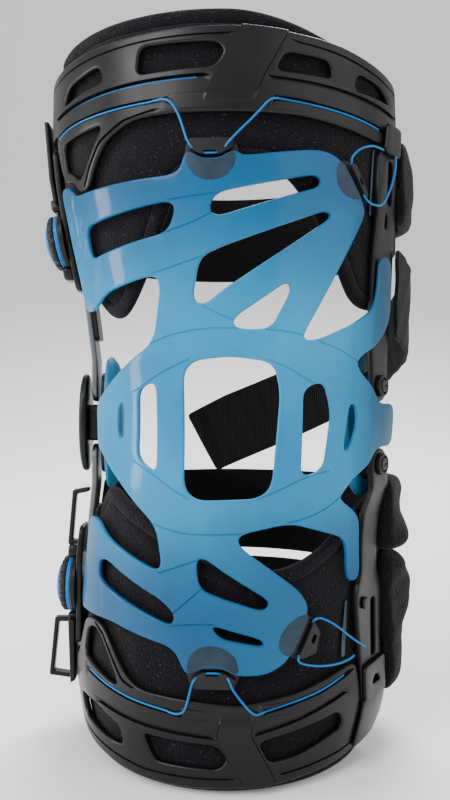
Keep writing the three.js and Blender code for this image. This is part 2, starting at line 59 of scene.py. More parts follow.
def smoothColumn(places, values, at):
    # cubic through the rows, flat beyond the ends
    places, values, at = np.asarray(places, float), np.asarray(values, float), np.asarray(at, float)
    last = len(places) - 1
    k = np.clip(np.searchsorted(places, at) - 1, 0, last - 1)
    low, high = np.maximum(np.arange(last + 1) - 1, 0), np.minimum(np.arange(last + 1) + 1, last)
    slope = (values[high] - values[low]) / (places[high] - places[low])
    span = places[k + 1] - places[k]
    t = np.clip((at - places[k]) / span, 0, 1)
    ease = t * t * (3 - 2 * t)
    bulge = t * (1 - t) * span * (slope[k] * (1 - t) - slope[k + 1] * t)
    return values[k] * (1 - ease) + values[k + 1] * ease + bulge


def legPlace(x, z, out):
    # points of the leg's surface, in metres, from flat x, height and distance out of the padding
    x, z, out = np.broadcast_arrays(np.asarray(x, float), np.asarray(z, float), np.asarray(out, float))
    angle = np.radians(x / degreeLength)
    sine, cosine = np.sin(angle), np.cos(angle)
    left, right, front, back = (smoothColumn(surfaceRows[:, 0], surfaceRows[:, c], z) for c in (1, 2, 3, 4))
    width, depth = np.where(sine > 0, right, left), np.where(cosine > 0, front, back)
    normal = np.stack([sine / width, -cosine / depth], -1)
    normal /= np.linalg.norm(normal, axis=-1, keepdims=True)
    points = np.stack([width * sine + normal[..., 0] * out, -depth * cosine + normal[..., 1] * out, z], -1)
    return (points + shift) * mm


# Camera at the photo's angle, close in front of the knee
view = {"distance": 451, "height": 201, "sensor": 36, "focalPixels": 720, "photoPixels": 800}
camera = bpy.data.objects.new("camera", bpy.data.cameras.new("camera"))
bpy.context.scene.collection.objects.link(camera)
camera.location = (shift[0] * mm, (shift[1] - view["distance"]) * mm, view["height"] * mm)
camera.rotation_euler = (math.radians(90), 0, 0)
camera.data.sensor_width = view["sensor"]
camera.data.lens = view["sensor"] * view["focalPixels"] / view["photoPixels"]
bpy.context.scene.camera = camera


# Materials
def newMaterial(name, colour, roughness, metallic=0.0):
    material = bpy.data.materials.new(name)
    material.use_nodes = True
    shader = material.node_tree.nodes["Principled BSDF"]
    shader.inputs["Base Color"].default_value = (*colour, 1)
    shader.inputs["Roughness"].default_value = roughness
    shader.inputs["Metallic"].default_value = metallic
    return material, material.node_tree, shader


def addBump(tree, shader, height, strength, distance):
    bump = tree.nodes.new("ShaderNodeBump")
    bump.inputs["Strength"].default_value = strength
    bump.inputs["Distance"].default_value = distance
    tree.links.new(height, bump.inputs["Height"])
    tree.links.new(bump.outputs["Normal"], shader.inputs["Normal"])


def addNoise(tree, scale, detail, stretch=(1, 1, 1)):
    place = tree.nodes.new("ShaderNodeTexCoord")
    mapping = tree.nodes.new("ShaderNodeMapping")
    mapping.inputs["Scale"].default_value = stretch
    noise = tree.nodes.new("ShaderNodeTexNoise")
    noise.inputs["Scale"].default_value = scale
    noise.inputs["Detail"].default_value = detail
    tree.links.new(place.outputs["Object"], mapping.inputs["Vector"])
    tree.links.new(mapping.outputs["Vector"], noise.inputs["Vector"])
    return noise.outputs["Fac"]


def addRamp(tree, value, low, lowColour, high, highColour):
    ramp = tree.nodes.new("ShaderNodeValToRGB")
    ramp.color_ramp.elements[0].position = low
    ramp.color_ramp.elements[0].color = (*lowColour, 1)
    ramp.color_ramp.elements[1].position = high
    ramp.color_ramp.elements[1].color = (*highColour, 1)
    tree.links.new(value, ramp.inputs["Fac"])
    return ramp.outputs["Color"]


def plasticMaterial(name, colour, roughness):
    material, tree, shader = newMaterial(name, colour, roughness)
    shader.inputs["Specular IOR Level"].default_value = 0.24
    grain = addNoise(tree, 2600, 2)
    addBump(tree, shader, grain, 0.1, 0.0003)
    worn = addRamp(tree, addNoise(tree, 45, 4), 0.35, (roughness - 0.05,) * 3, 0.7, (roughness + 0.07,) * 3)
    tree.links.new(worn, shader.inputs["Roughness"])
    return material


def clothMaterial(name, colour, lint, weave):
    # matt knit with a fine nap, and here and there a pale speck
    material, tree, shader = newMaterial(name, colour, 0.92)
    specks = addRamp(tree, addNoise(tree, 900, 2), 0.66, colour, 0.74, lint)
    tree.links.new(specks, shader.inputs["Base Color"])
    shader.inputs["Specular IOR Level"].default_value = 0.1
    shader.inputs["Sheen Weight"].default_value = 0.06
    shader.inputs["Sheen Roughness"].default_value = 0.5
    addBump(tree, shader, addNoise(tree, weave, 3), 0.9, 0.0014)
    return material


def webbingMaterial(name, colour, rib):
    # woven ribs across the strap, from its own flat layout
    material, tree, shader = newMaterial(name, colour, 0.88)
    place = tree.nodes.new("ShaderNodeUVMap")
    ribs = tree.nodes.new("ShaderNodeTexWave")
    ribs.wave_type = "BANDS"
    ribs.bands_direction = "X"
    ribs.inputs["Scale"].default_value = rib
    ribs.inputs["Distortion"].default_value = 0.4
    tree.links.new(place.outputs["UV"], ribs.inputs["Vector"])
    addBump(tree, shader, ribs.outputs["Fac"], 0.8, 0.0008)
    shader.inputs["Specular IOR Level"].default_value = 0.2
    shader.inputs["Sheen Weight"].default_value = 0.06
    return material


def addMath(tree, operation, *values):
    node = tree.nodes.new("ShaderNodeMath")
    node.operation = operation
    for socket, value in zip(node.inputs, values):
        if isinstance(value, float):
            socket.default_value = value
        else:
            tree.links.new(value, socket)
    return node.outputs["Value"]


def addRange(tree, value, reach, result, kind="LINEAR"):
    # one range of a value turned into another
    span = tree.nodes.new("ShaderNodeMapRange")
    span.interpolation_type = kind
    for socket, limit in zip(("From Min", "From Max", "To Min", "To Max"), (*reach, *result)):
        span.inputs[socket].default_value = limit
    tree.links.new(value, span.inputs["Value"])
    return span.outputs["Result"]


def addMix(tree, factor, first, second):
    mix = tree.nodes.new("ShaderNodeMix")
    mix.data_type = "RGBA"
    tree.links.new(factor, mix.inputs["Factor"])
    for socket, colour in (("A", first), ("B", second)):
        if isinstance(colour, tuple):
            mix.inputs[socket].default_value = (*colour, 1)
        else:
            tree.links.new(colour, mix.inputs[socket])
    return mix.outputs["Result"]


webLook = {
    # colours, each cloud from its dark to its light, and in metres the places where they change
    "deep": [(0.0002, 0.075, 0.20), (0.0008, 0.125, 0.29)],
    # the lighter cloud colours are painted backlight, where light shows through the web over the open knee
    "paleBacklightPaint": [(0.001, 0.18, 0.41), (0.010, 0.30, 0.55)],
    # the colour over the arms is painted shade, where the web lies on the right arms; the scuff is real wear
    "scuff": (0.34, 0.40, 0.42), "paintedShadeOverArm": (0.012, 0.045, 0.075),
    "knee": 0.205, "kneeBacklightReach": (0.03, 0.115), "scuffReach": (-0.066, -0.084), "armShadeReach": (0.066, 0.086),
}


def webMaterial():
    # clouded translucent elastomer with a glossy skin, scuffed at its left ends; painted backlight makes it
    # paler over the open knee, and painted shade makes it darker where it lies on the right arms
    material, tree, shader = newMaterial("web", (0.02, 0.27, 0.55), 0.5)
    place = tree.nodes.new("ShaderNodeTexCoord")
    parts = tree.nodes.new("ShaderNodeSeparateXYZ")
    tree.links.new(place.outputs["Object"], parts.inputs["Vector"])
    away = addMath(tree, "ABSOLUTE", addMath(tree, "SUBTRACT", parts.outputs["Z"], webLook["knee"]))
    # painted backlight: the clouds turn lighter towards the open knee
    kneeBacklightPaint = addRange(tree, away, webLook["kneeBacklightReach"], (1.0, 0.0), "SMOOTHSTEP")
    deep, paleBacklightPaint = (addRamp(tree, addNoise(tree, 14, 5), 0.32, webLook[key][0], 0.72, webLook[key][1])
                  for key in ("deep", "paleBacklightPaint"))
    clouds = addMix(tree, kneeBacklightPaint, deep, paleBacklightPaint)
    leftEnds = addRange(tree, parts.outputs["X"], webLook["scuffReach"], (0.0, 0.55))
    scratches = addRamp(tree, addNoise(tree, 75, 6, (1, 1, 0.35)), 0.54, (0, 0, 0), 0.62, (1, 1, 1))
    scuffed = addMix(tree, addMath(tree, "MULTIPLY", leftEnds, scratches), clouds, webLook["scuff"])
    # painted shade: darker where the web lies over the right arms
    armShadePaint = addRange(tree, parts.outputs["X"], webLook["armShadeReach"], (0.0, 0.75))
    tree.links.new(addMix(tree, armShadePaint, scuffed, webLook["paintedShadeOverArm"]), shader.inputs["Base Color"])
    for socket, value in (("Transmission Weight", 0.32), ("IOR", 1.4), ("Specular IOR Level", 0.08),
                          ("Coat Weight", 0.2), ("Coat Roughness", 0.1)):
        shader.inputs[socket].default_value = value
    addBump(tree, shader, addNoise(tree, 55, 3), 0.15, 0.002)
    return material


def smokeMaterial():
    # smoky clear plastic of the lugs' discs, where they show in the web's face
    dark, light = (0.004, 0.018, 0.038), (0.014, 0.042, 0.075)
    material, tree, shader = newMaterial("smoke", (0.006, 0.02, 0.035), 0.5)
    shader.inputs["Transmission Weight"].default_value = 0.3
    shader.inputs["Specular IOR Level"].default_value = 0.2
    tree.links.new(addRamp(tree, addNoise(tree, 90, 4), 0.35, dark, 0.7, light), shader.inputs["Base Color"])
    return material


def steelMaterial(name, colour, roughness):
    material, tree, shader = newMaterial(name, colour, roughness, 1.0)
    addBump(tree, shader, addNoise(tree, 900, 2, (1, 1, 0.05)), 0.08, 0.0002)
    return material


materials = {
    "frame": plasticMaterial("frame", (0.0032, 0.0033, 0.0036), 0.34),
    "frameSoft": plasticMaterial("frameSoft", (0.003, 0.003, 0.0034), 0.42),
    "cloth": clothMaterial("cloth", (0.0032, 0.0027, 0.0042), (0.05, 0.048, 0.055), 900),
    "strap": webbingMaterial("strap", (0.0038, 0.0038, 0.0044), 22),
    "looped": clothMaterial("looped", (0.0034, 0.0034, 0.0042), (0.03, 0.03, 0.032), 600),
    "web": webMaterial(),
    "lace": plasticMaterial("lace", (0.0004, 0.11, 0.31), 0.36),
    "lug": plasticMaterial("lug", (0.008, 0.008, 0.009), 0.4),
    "pad": plasticMaterial("pad", (0.006, 0.13, 0.23), 0.5),
    "steel": steelMaterial("steel", (0.13, 0.14, 0.15), 0.42),
    "darkSteel": steelMaterial("darkSteel", (0.045, 0.06, 0.08), 0.4),
    "smoke": smokeMaterial(),
    "accent": plasticMaterial("accent", (0.0006, 0.12, 0.40), 0.32),
}


def finishPiece(obj, material, slot, body=None, stands=()):
    obj.data.materials.clear()
    obj.data.materials.append(materials[material])
    if body:
        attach(obj, body)
    if stands:
        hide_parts(*stands)
    return obj


def newObject(name, mesh):
    obj = bpy.data.objects.new(name, mesh)
    bpy.context.scene.collection.objects.link(obj)
    return obj


# Laces: thin round cords through points of angle, height and distance out. The one in the upper channel
# stands for no solid.
laceWidth = 0.0012
laceRuns = {
    "lace_top": {"body": "thigh", "run": [
        [-66, 351, 3.7], [-56, 352.5, 3.7], [-40, 353.3, 3.7], [-24, 354, 3.7], [-20, 354.3, 4.4],
        [-17.4, 354, 6], [-15, 351.6, 6.4], [-13.2, 346.4, 6], [-12, 340.4, 5.6], [-11, 334.5, 6.3],
        [-10.1, 330.6, 6.3], [-9, 328.5, 4.4], [-6.5, 326.6, 4], [-4.4, 326.3, 4], [-2.2, 326.6, 4],
        [-0.2, 328.6, 4.4], [0.8, 330.6, 6.3], [3.4, 336, 6.1], [6.6, 342, 5.9], [9.6, 348, 6],
        [12, 352.6, 6.4], [14.2, 354.2, 5.2], [17.5, 354.3, 3.7], [35, 352.3, 3.7], [52, 350, 3.7]]},
    "lace_channel": {"body": "thigh", "stands": [], "run": [
        [-63, 361.8, 2.8], [-50, 362.6, 2.8], [-30, 363.9, 2.8], [-8, 364.8, 2.8]]},
    "lace_upper_right": {"body": "thigh", "run": [
        [38.8, 326.6, 4.4], [38.2, 329, 6], [39.5, 332, 5.8], [42, 335.4, 6], [46, 338, 6.6],
        [49, 338.4, 6.9], [52, 338.2, 7]]},
    "lace_upper_side": {"body": "thigh", "run": [
        [44.6, 312, 4.4], [45.8, 308.6, 6], [48.2, 307, 7.2], [52, 308.5, 8.2], [56, 318, 8.4],
        [59, 330, 8.2], [60, 338, 7.6]]},
    "lace_bottom": {"body": "shin", "run": [
        [-57, 50.2, 3.7], [-52, 49, 3.7], [-35, 44.6, 3.7], [-21, 42, 3.7], [-18, 41.3, 4.4],
        [-15.2, 41.7, 6], [-13.1, 43.6, 6.3], [-12, 48, 6], [-11.2, 53.2, 6.2], [-10.3, 57.8, 6.3],
        [-8.9, 60.6, 4.4], [-6.2, 61.9, 4], [-4, 62.1, 4], [-1.8, 61.9, 4], [0.4, 60.6, 4.4],
        [1.4, 58.4, 6.3], [2.4, 54.5, 6.3], [5, 48.4, 6], [7.2, 44.2, 6.4], [9, 42.2, 6.2], [11, 42.2, 4.4],
        [14, 43.4, 3.7], [18, 44.8, 3.7], [30, 49, 3.7], [40, 54, 3.7]]},
    "lace_lower_right": {"body": "shin", "run": [
        [23, 69, 4.4], [22.6, 66.4, 6], [25, 64.2, 5.6], [30, 62.4, 6], [36, 61.8, 6.4], [41, 62.4, 6.5],
        [44, 63.6, 6.5]]},
    "lace_lower_side": {"body": "shin", "run": [
        [28.2, 85.4, 4.4], [29.2, 87.2, 6], [31.5, 86.6, 5.8], [36.5, 82, 5.8], [42, 75, 6.2], [46, 70.2, 7],
        [50, 66, 7.2]]},
}


def smoothRun(points, steps):
    # Catmull-Rom points through the given ones
    points = np.asarray(points, float)
    padded = np.vstack([2 * points[0] - points[1], points, 2 * points[-1] - points[-2]])
    t = np.linspace(0, 1, steps, endpoint=False)[:, None]
    parts = []
    for a, b, c, d in zip(padded, padded[1:], padded[2:], padded[3:]):
        parts.append(0.5 * (2 * b + (c - a) * t + (2 * a - 5 * b + 4 * c - d) * t ** 2
                            + (3 * b - a - 3 * c + d) * t ** 3))
    return np.vstack([*parts, points[-1:]])


def cordCurve(name, points, width):
    curve = bpy.data.curves.new(name, "CURVE")
    curve.dimensions = "3D"
    curve.bevel_depth = width / 2
    curve.bevel_resolution = 3
    curve.use_fill_caps = True
    spline = curve.splines.new("POLY")
    spline.points.add(len(points) - 1)
    for place, point in zip(spline.points, points):
        place.co = (*point, 1)
    return newObject(name, curve)


for name, lace in laceRuns.items():
    run = smoothRun(lace["run"], 8)
    points = legPlace(run[:, 0] * degreeLength, run[:, 1], run[:, 2])
    stands = lace.get("stands", [name])
    cord = finishPiece(cordCurve(name + "_cord", points, laceWidth), "lace", "lace", lace["body"], stands)
    length = float(np.linalg.norm(np.diff(points, axis=0), axis=1).sum())
    print("lace", name, round(length, 4))


# Flat layouts: loops of corners, rounded, set out at even steps and offset inwards
def evenSteps(points, step, closed=True):
    points = np.asarray(points, float)
    ring = np.vstack([points, points[:1]]) if closed else points
    along = np.concatenate([[0], np.cumsum(np.linalg.norm(np.diff(ring, axis=0), axis=1))])
    count = max(3, int(round(along[-1] / step)))
    at = np.linspace(0, along[-1], count, endpoint=not closed)
    return np.stack([np.interp(at, along, ring[:, c]) for c in (0, 1)], -1)


def roundedLoop(corners, radius, step, scale=degreeLength):
    # each corner's curve stops short of the middle of its sides
    sideShare = 0.47
    points = np.asarray(corners, float) * [scale, 1]
    before, after = np.roll(points, 1, 0), np.roll(points, -1, 0)
    arcs = []
    for point, prior, following in zip(points, before, after):
        start, end = (point + (other - point) * min(radius / np.linalg.norm(other - point), sideShare)
                      for other in (prior, following))
        t = np.linspace(0, 1, 9)[:, None]
        arcs.append(start * (1 - t) ** 2 + point * 2 * t * (1 - t) + end * t ** 2)
    loop = evenSteps(np.vstack(arcs), step)
    x, y = loop.T
    area = np.sum(x * np.roll(y, -1) - np.roll(x, -1) * y)
    return loop if area > 0 else loop[::-1]


def offsetLine(points, distance, closed=True):
    # moved to the left of the way the points run
    if closed:
        way = np.roll(points, -1, 0) - np.roll(points, 1, 0)
    else:
        way = np.gradient(points, axis=0)
    way /= np.linalg.norm(way, axis=1, keepdims=True)
    return points + np.stack([-way[:, 1], way[:, 0]], -1) * distance


def lineDistance(points, line, closed):
    ends = np.roll(line, -1, 0) if closed else line[1:]
    starts = line if closed else line[:-1]
    best = np.full(len(points), 1e9)
    for start, end in zip(starts, ends):
        way = end - start
        t = np.clip(((points - start) @ way) / max(way @ way, 1e-12), 0, 1)
        best = np.minimum(best, np.linalg.norm(points - start - t[:, None] * way, axis=1))
    return best


def insideLoops(points, loops):
    crossings = np.zeros(len(points), int)
    for loop in loops:
        for (x0, y0), (x1, y1) in zip(loop, np.roll(loop, -1, 0)):
            if y0 == y1:
                continue
            over = (points[:, 1] < max(y0, y1)) & (points[:, 1] >= min(y0, y1))
            at = x0 + (points[:, 1] - y0) * (x1 - x0) / (y1 - y0)
            crossings += over & (points[:, 0] < at)
    return crossings % 2 == 1


edgeRings = (0, 0.12, 0.35, 0.65, 1.0)  # shares of a rounded edge's width, at which rings follow it
rowGap, ringGap = 0.87, 0.55  # shares of the spacing, between rows and between the grid and the rings


def layout(loops, spacing, edge, lines=()):
    # triangles of the flat piece, with rings that follow its edges and lines kept as given
    outer, holes = loops[0], [loop[::-1] for loop in loops[1:]]
    rings = [(offsetLine(loop, edge * part), True) for loop in [outer, *holes] for part in edgeRings]
    rings += [(line, False) for line in lines]
    low, high = outer.min(0), outer.max(0)
    columns = np.arange(low[0], high[0], spacing)
    rows = np.arange(low[1], high[1], spacing * rowGap)
    grid = np.array([(x + j % 2 * spacing / 2, y) for j, y in enumerate(rows) for x in columns])
    grid = grid[insideLoops(grid, loops)]
    for ring, closed in rings:
        grid = grid[lineDistance(grid, ring, closed) > spacing * ringGap]
    points, edges = [], []
    for ring, closed in rings:
        first = len(points)
        points += list(ring)
        edges += [(first + k, first + k + 1) for k in range(len(ring) - 1)]
        if closed:
            edges.append((first + len(ring) - 1, first))
    points += list(grid)
    found = geometry.delaunay_2d_cdt([Vector(p) for p in points], edges, [], 0, 1e-5)
    flat = np.array([tuple(v) for v in found[0]])
    faces = np.array([f for f in found[2] if len(f) == 3])
    faces = faces[insideLoops(flat[faces].mean(1), loops)]
    return flat, faces


def sheetMesh(name, loops, place, low, high, edge, spacing, side=0.35, relief=None, lines=(), keep=None,
              walled=False):
    # a sheet between two distances out: edges rounded over the width edge down to the share side of its
    # thickness, flat walls round its rim, and its flat layout as the UV map, where a unit is 100 mm; where
    # keep cuts it off, it stays open unless walled
    flat, faces = layout(loops, spacing, edge, lines)
    if keep is not None:
        faces = faces[keep(flat[faces].mean(1))]
    used, faces = np.unique(faces, return_inverse=True)
    flat, faces = flat[used], faces.reshape(-1, 3)
    a, b, c = flat[faces[:, 0]], flat[faces[:, 1]], flat[faces[:, 2]]
    turned = (b[:, 0] - a[:, 0]) * (c[:, 1] - a[:, 1]) < (b[:, 1] - a[:, 1]) * (c[:, 0] - a[:, 0])
    faces[turned] = faces[turned][:, ::-1]
    depth = np.min([lineDistance(flat, loop, True) for loop in loops], axis=0)
    rounding = np.sqrt(np.clip(1 - (1 - np.clip(depth / edge, 0, 1)) ** 2, 0, 1))
    x, y = flat.T
    lowOut, highOut = (value(x, y) if callable(value) else np.full(len(x), float(value))
                       for value in (low, high))
    middle, half = (lowOut + highOut) / 2, (highOut - lowOut) / 2 * (side + (1 - side) * rounding)
    top = middle + half + (relief(flat) if relief else 0)
    points = np.vstack([place(x, y, top), place(x, y, middle - half)])
    count = len(flat)
    pairs = {}
    for f in faces:
        for p, q in ((f[0], f[1]), (f[1], f[2]), (f[2], f[0])):
            pairs[(p, q)] = pairs.get((p, q), 0) + 1
    rim = [(p, q) for p, q in pairs if (q, p) not in pairs and (walled or max(depth[p], depth[q]) < 1e-3)]
    polygons = [tuple(map(int, f)) for f in faces] + [tuple(int(v) + count for v in f[::-1]) for f in faces]
    polygons += [(int(q), int(p), int(p) + count, int(q) + count) for p, q in rim]
    mesh = bpy.data.meshes.new(name)
    mesh.from_pydata(points.tolist(), [], polygons)
    mesh.update()
    mesh.shade_smooth()
    mesh.set_sharp_from_angle(angle=math.radians(42))
    uv = mesh.uv_layers.new(name="flat")
    owner = np.zeros(len(mesh.loops), np.int32)
    mesh.loops.foreach_get("vertex_index", owner)
    uv.data.foreach_set("uv", (flat[owner % count] * mm * 10).astype(np.float32).ravel())
    return newObject(name, mesh)


def groove(path, width, depth, soft=0.4):
    # a channel along a path: the lines that keep its walls sharp, and how far it lowers each point
    path = evenSteps(np.asarray(path, float) * [degreeLength, 1], 2.0, False)
    lines = [offsetLine(path, offset, False)
             for offset in (width / 2, width / 2 - soft, soft - width / 2, -width / 2)]
    return lines, lambda flat: -depth * np.clip((width / 2 - lineDistance(flat, path, False)) / soft, 0, 1)


def raised(corners, height, soft=0.5, fade=None):
    # a plateau inside a sharp outline, sinking away between the two heights of fade
    loop = roundedLoop(corners, 1.2, 2.0)
    rings = [offsetLine(loop, inward) for inward in (-soft, 0, soft, 2 * soft)]
    lines = [np.vstack([ring, ring[:1]]) for ring in rings]

    def lift(flat):
        within = insideLoops(flat, [loop]).astype(float)
        rise = 1 if fade is None else np.clip((flat[:, 1] - fade[0]) / (fade[1] - fade[0]), 0, 1)
        return height * within * rise * np.clip(lineDistance(flat, loop, True) / soft, 0, 1)
    return lines, lift


def combined(features):
    lines = [line for own, _ in features for line in own]
    return lines, lambda flat: sum(lift(flat) for _, lift in features)


# Elastic web, in two pieces that meet at the height of the hinge
web = {
    # lift: the angles between which it rises over the right arms, and how far
    "low": 3.2, "thick": 2.6, "lift": (43, 49, 3.0), "edge": 1.1, "spacing": 3.6, "split": 187,
    "outline": [
        [-67, 322], [-59, 321], [-56, 314], [-13.6, 316], [-11.5, 327], [-10, 327], [-6.7, 323.4],
        [-1.5, 323.4], [1.8, 327.2], [3.3, 327], [4.9, 324.6], [28, 331], [35, 327], [44, 308],
        [45, 300], [22, 232], [27, 232], [43, 243], [49, 251], [51, 262], [51.4, 280], [59, 280], [59.4, 247],
        [54, 235], [43, 223], [44, 217], [50, 206], [53, 199], [66, 199], [66, 175], [53, 175], [50, 168],
        [38, 150], [39.5, 147], [46.8, 140], [47.2, 104], [42.6, 103], [42, 127], [20, 138], [4, 133],
        [4, 127], [24, 102], [27, 92], [20, 68], [13, 61], [5, 60.8], [2.6, 61.6], [-0.6, 65], [-7.6, 65],
        [-11, 61.8], [-13.4, 62], [-17, 74], [-44, 82], [-70, 81], [-70, 134], [-58, 135], [-50, 127],
        [-34, 118], [-22, 112], [-25, 136], [-44, 157], [-58, 170], [-68, 176], [-68, 198], [-56, 206],
        [-26, 231], [-22, 260], [-24, 266], [-47, 259], [-56, 251], [-65, 251]],
    "openings": [
        [[-52, 296], [-17, 303], [-15, 299], [-18, 287], [-52, 278]],
        [[-3, 306], [27, 318], [28, 312], [-2, 294], [-5, 297]],
        [[-8, 274], [30, 300], [32, 297], [-7, 249], [-11, 252]],
        [[18, 262], [19, 257], [13, 237], [3, 237], [2, 242]],
        [[-15, 215], [-11, 221], [2, 223], [14, 220], [16, 205], [14, 157], [10, 151], [-10, 150],
         [-15, 156]],
        [[-34, 207], [-26, 211], [-26, 163], [-35, 171]],
        [[-46, 198], [-42, 201], [-43, 178], [-47, 183]],
        [[23, 207], [30, 211], [33, 195], [31, 165], [23, 161]],
        [[40, 199], [43, 199], [44, 188], [41, 174], [38, 174]],
        [[-54, 113], [-54, 103], [-18, 85], [-17, 91], [-22, 98], [-48, 114]],
        [[-10, 120], [-7, 121], [14, 98], [12, 93], [-9, 105]],
        [[-5, 87], [11, 79], [12, 75], [-2, 80]]],
    "grooveWidth": 1.2, "grooveDepth": 0.5,
    "grooves": [
        [[-28, 229.6], [-17, 234.8], [-6, 237], [4, 237.2]],
        [[12, 237], [20, 235.2], [28, 231.6], [36, 227], [44, 221]],
        [[-26, 137], [-16, 133.6], [-6, 132.8], [5, 133.4]], [[19, 138], [27, 141], [33, 145], [39, 150.6]],
        [[-18, 303], [-10, 304.6], [-2, 306]], [[-19, 287], [-11, 290.6], [-4, 296]],
        [[-25, 266], [-15, 270], [-7, 274]], [[-11, 252], [-4, 246], [3, 241]],
        [[-23, 112], [-16, 116], [-9, 120]], [[-18, 91], [-13, 98], [-8, 105]],
        [[-19, 85], [-11, 86.6], [-4, 87]], [[-35, 206], [-27, 212], [-20, 217], [-13, 221.4]],
        [[12, 221.4], [18, 217.4], [24, 211.6], [31, 206]],
        [[-36, 169], [-27, 162.6], [-20, 156.4], [-13, 151]],
        [[10, 151], [17, 155.8], [24, 160.8], [32, 164]]],
}


def webLow(x, y):
    first, last, rise = web["lift"]
    t = np.clip((x / degreeLength - first) / (last - first), 0, 1)
    return web["low"] + rise * t * t * (3 - 2 * t)


webLoops = [roundedLoop(web["outline"], 8, 1.8)] + [roundedLoop(o, 6, 1.8) for o in web["openings"]]
seamPlaces = np.arange(-108, 105, 2.0)
seam = np.stack([seamPlaces, np.full(len(seamPlaces), web["split"])], -1)
webPieces = {}
webLines, webRelief = combined([groove(smoothRun(path, 6), web["grooveWidth"], web["grooveDepth"], 0.5)
                                for path in web["grooves"]])
for name, above in (("web_upper", True), ("web_lower", False)):
    piece = sheetMesh(name, webLoops, legPlace, webLow, lambda x, y: webLow(x, y) + web["thick"],
                      web["edge"], web["spacing"], relief=webRelief, lines=[seam, *webLines],
                      keep=lambda middles, up=above: (middles[:, 1] > web["split"]) == up)
    webPieces[name] = finishPiece(piece, "web", "web")
print("web", [len(o.data.polygons) for o in webPieces.values()])

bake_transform(webPieces["web_upper"])
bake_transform(webPieces["web_lower"])
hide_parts("web")
print("web done")

# Moulded shells: windows, lace channels, ribs beside the arches and a plain raised badge
shells = {
    "thigh_shell": {
        "body": "thigh",
        "outline": [
            [-96, 386], [-60, 388.5], [-24, 390], [3, 391], [33, 388], [66, 381], [66, 342], [47, 343],
            [22, 347], [-19, 347], [-28, 346.2], [-38, 338], [-44, 326.5], [-48, 315.6], [-53.6, 316],
            [-57, 323.4], [-63.5, 324.4], [-66.4, 342], [-68, 355], [-96, 356]],
        "windows": [
            [[-26, 369], [-25, 383], [-2, 382.5], [0, 378], [-3, 370]],
            [[-60, 366], [-56, 375], [-40, 379], [-38, 370]],
            [[14, 369], [17, 379], [31, 378], [32, 369]],
            [[40, 366], [42, 376], [54, 374], [60, 367]],
            [[-61, 345.6], [-38.6, 347.4], [-42.8, 338.6], [-48.4, 326.8], [-52, 321.6], [-57, 328],
             [-60.4, 329.6]]],
        "badge": [[4.6, 391.6], [18.4, 390.4], [11, 366], [7.5, 352], [-6.5, 352], [-2.6, 368]],
        "fade": (350, 366),
        "pads": [[[-16.4, 356.8], [-1, 357.4], [0, 355.4], [-1, 349], [-13, 348.6]],
                 [[13.6, 356.8], [12, 349], [24, 348.4], [26, 356]]],
        "grooves": [
            # path, width, depth
            ([[-95, 380.6], [-60, 383.2], [-24, 385.4], [1, 386.2]], 1.4, 0.9),
            ([[21, 384.2], [33, 382.6], [65, 375.4]], 1.4, 0.9),
            ([[-65, 362], [-50, 363], [-30, 364.3], [-6, 365.2]], 2.6, 2.4),
            ([[13, 364.6], [30, 363.6], [62, 361]], 2.6, 1.7),
            ([[-68, 350.8], [-56, 352.5], [-40, 353.3], [-24, 354], [-17, 354.3]], 2.7, 1.9),
            ([[14, 354.3], [19, 354.2], [35, 352.3], [54, 349.8]], 2.7, 1.9),
            ([[-21, 349.4], [-31, 346.4], [-40.3, 338.4], [-46.2, 326.6], [-49.6, 318.4]], 1.6, 1.2)]},
    "shin_shell": {
        "body": "shin",
        "outline": [
            [-94, 18], [-62, 9], [-30, 4], [14, 4], [42, 8], [66, 16], [66, 28], [49, 30], [46, 60], [38, 57],
            [22, 50], [4, 46], [-14, 48.5], [-30, 50], [-36, 55], [-41.5, 64], [-47, 73], [-52, 78.6],
            [-60, 79], [-66, 75], [-72, 52], [-94, 48]],
        "windows": [
            [[-66, 34], [-52, 34], [-39, 27.5], [-38, 18], [-48, 18], [-64, 22]],
            [[-29, 28], [-3, 26], [1, 19], [-2, 14], [-25, 15]],
            [[10, 27], [38, 36], [41, 27], [24, 18], [14, 16]],
            [[-63, 57.6], [-52, 53], [-43, 49.4], [-39.4, 48.8], [-41.2, 54.6], [-46, 64], [-52, 73],
             [-57, 74.6], [-61.6, 71.4]]],
        "badge": [[-1, 46], [-3, 30], [6, 5.4], [17, 5.6], [8, 31], [8, 46]], "fade": (42, 35),
        "pads": [[[-15, 44.6], [-5, 43.4], [-4.4, 38.6], [-14, 39]],
                 [[10, 46], [9.4, 39.4], [20, 40.8], [22, 47.4]]],
        "grooves": [
            ([[-93, 24], [-62, 14.6], [-30, 9.6], [1, 9.5]], 1.4, 0.9),
            ([[19, 10], [42, 13.6], [65, 21.6]], 1.4, 0.9),
            ([[-50, 37], [-31, 33.6], [-5, 30.8]], 2.6, 1.7),
            ([[10, 32.4], [23, 37.4], [40, 45.6]], 2.6, 1.7),
            ([[-58, 50.4], [-52, 49], [-35, 44.6], [-20, 42], [-15, 41]], 2.7, 1.9),
            ([[12, 42.8], [18, 44.8], [30, 49], [42, 55]], 2.7, 1.9),
            ([[-33, 50.4], [-37.4, 52.6], [-43.8, 64], [-49.2, 72.8], [-54.6, 76.6]], 1.6, 1.2)]},
}
shellSeat, shellFace, badgeRise, padRise = 1.0, 4.6, 1.7, 0.5
for name, shell in shells.items():
    loops = [roundedLoop(shell["outline"], 6, 2.0)] + [roundedLoop(w, 4, 1.6) for w in shell["windows"]]
    features = [groove(*row) for row in shell["grooves"]]
    features.append(raised(shell["badge"], badgeRise, 0.6, shell["fade"]))
    features += [raised(pad, padRise, 0.4) for pad in shell["pads"]]
    lines, relief = combined(features)
    piece = sheetMesh(name + "_moulding", loops, legPlace, shellSeat, shellFace, 1.3, 3.6, 0.3, relief, lines)
    finishPiece(piece, "frame", "frame", shell["body"], [name])
print("shells done")

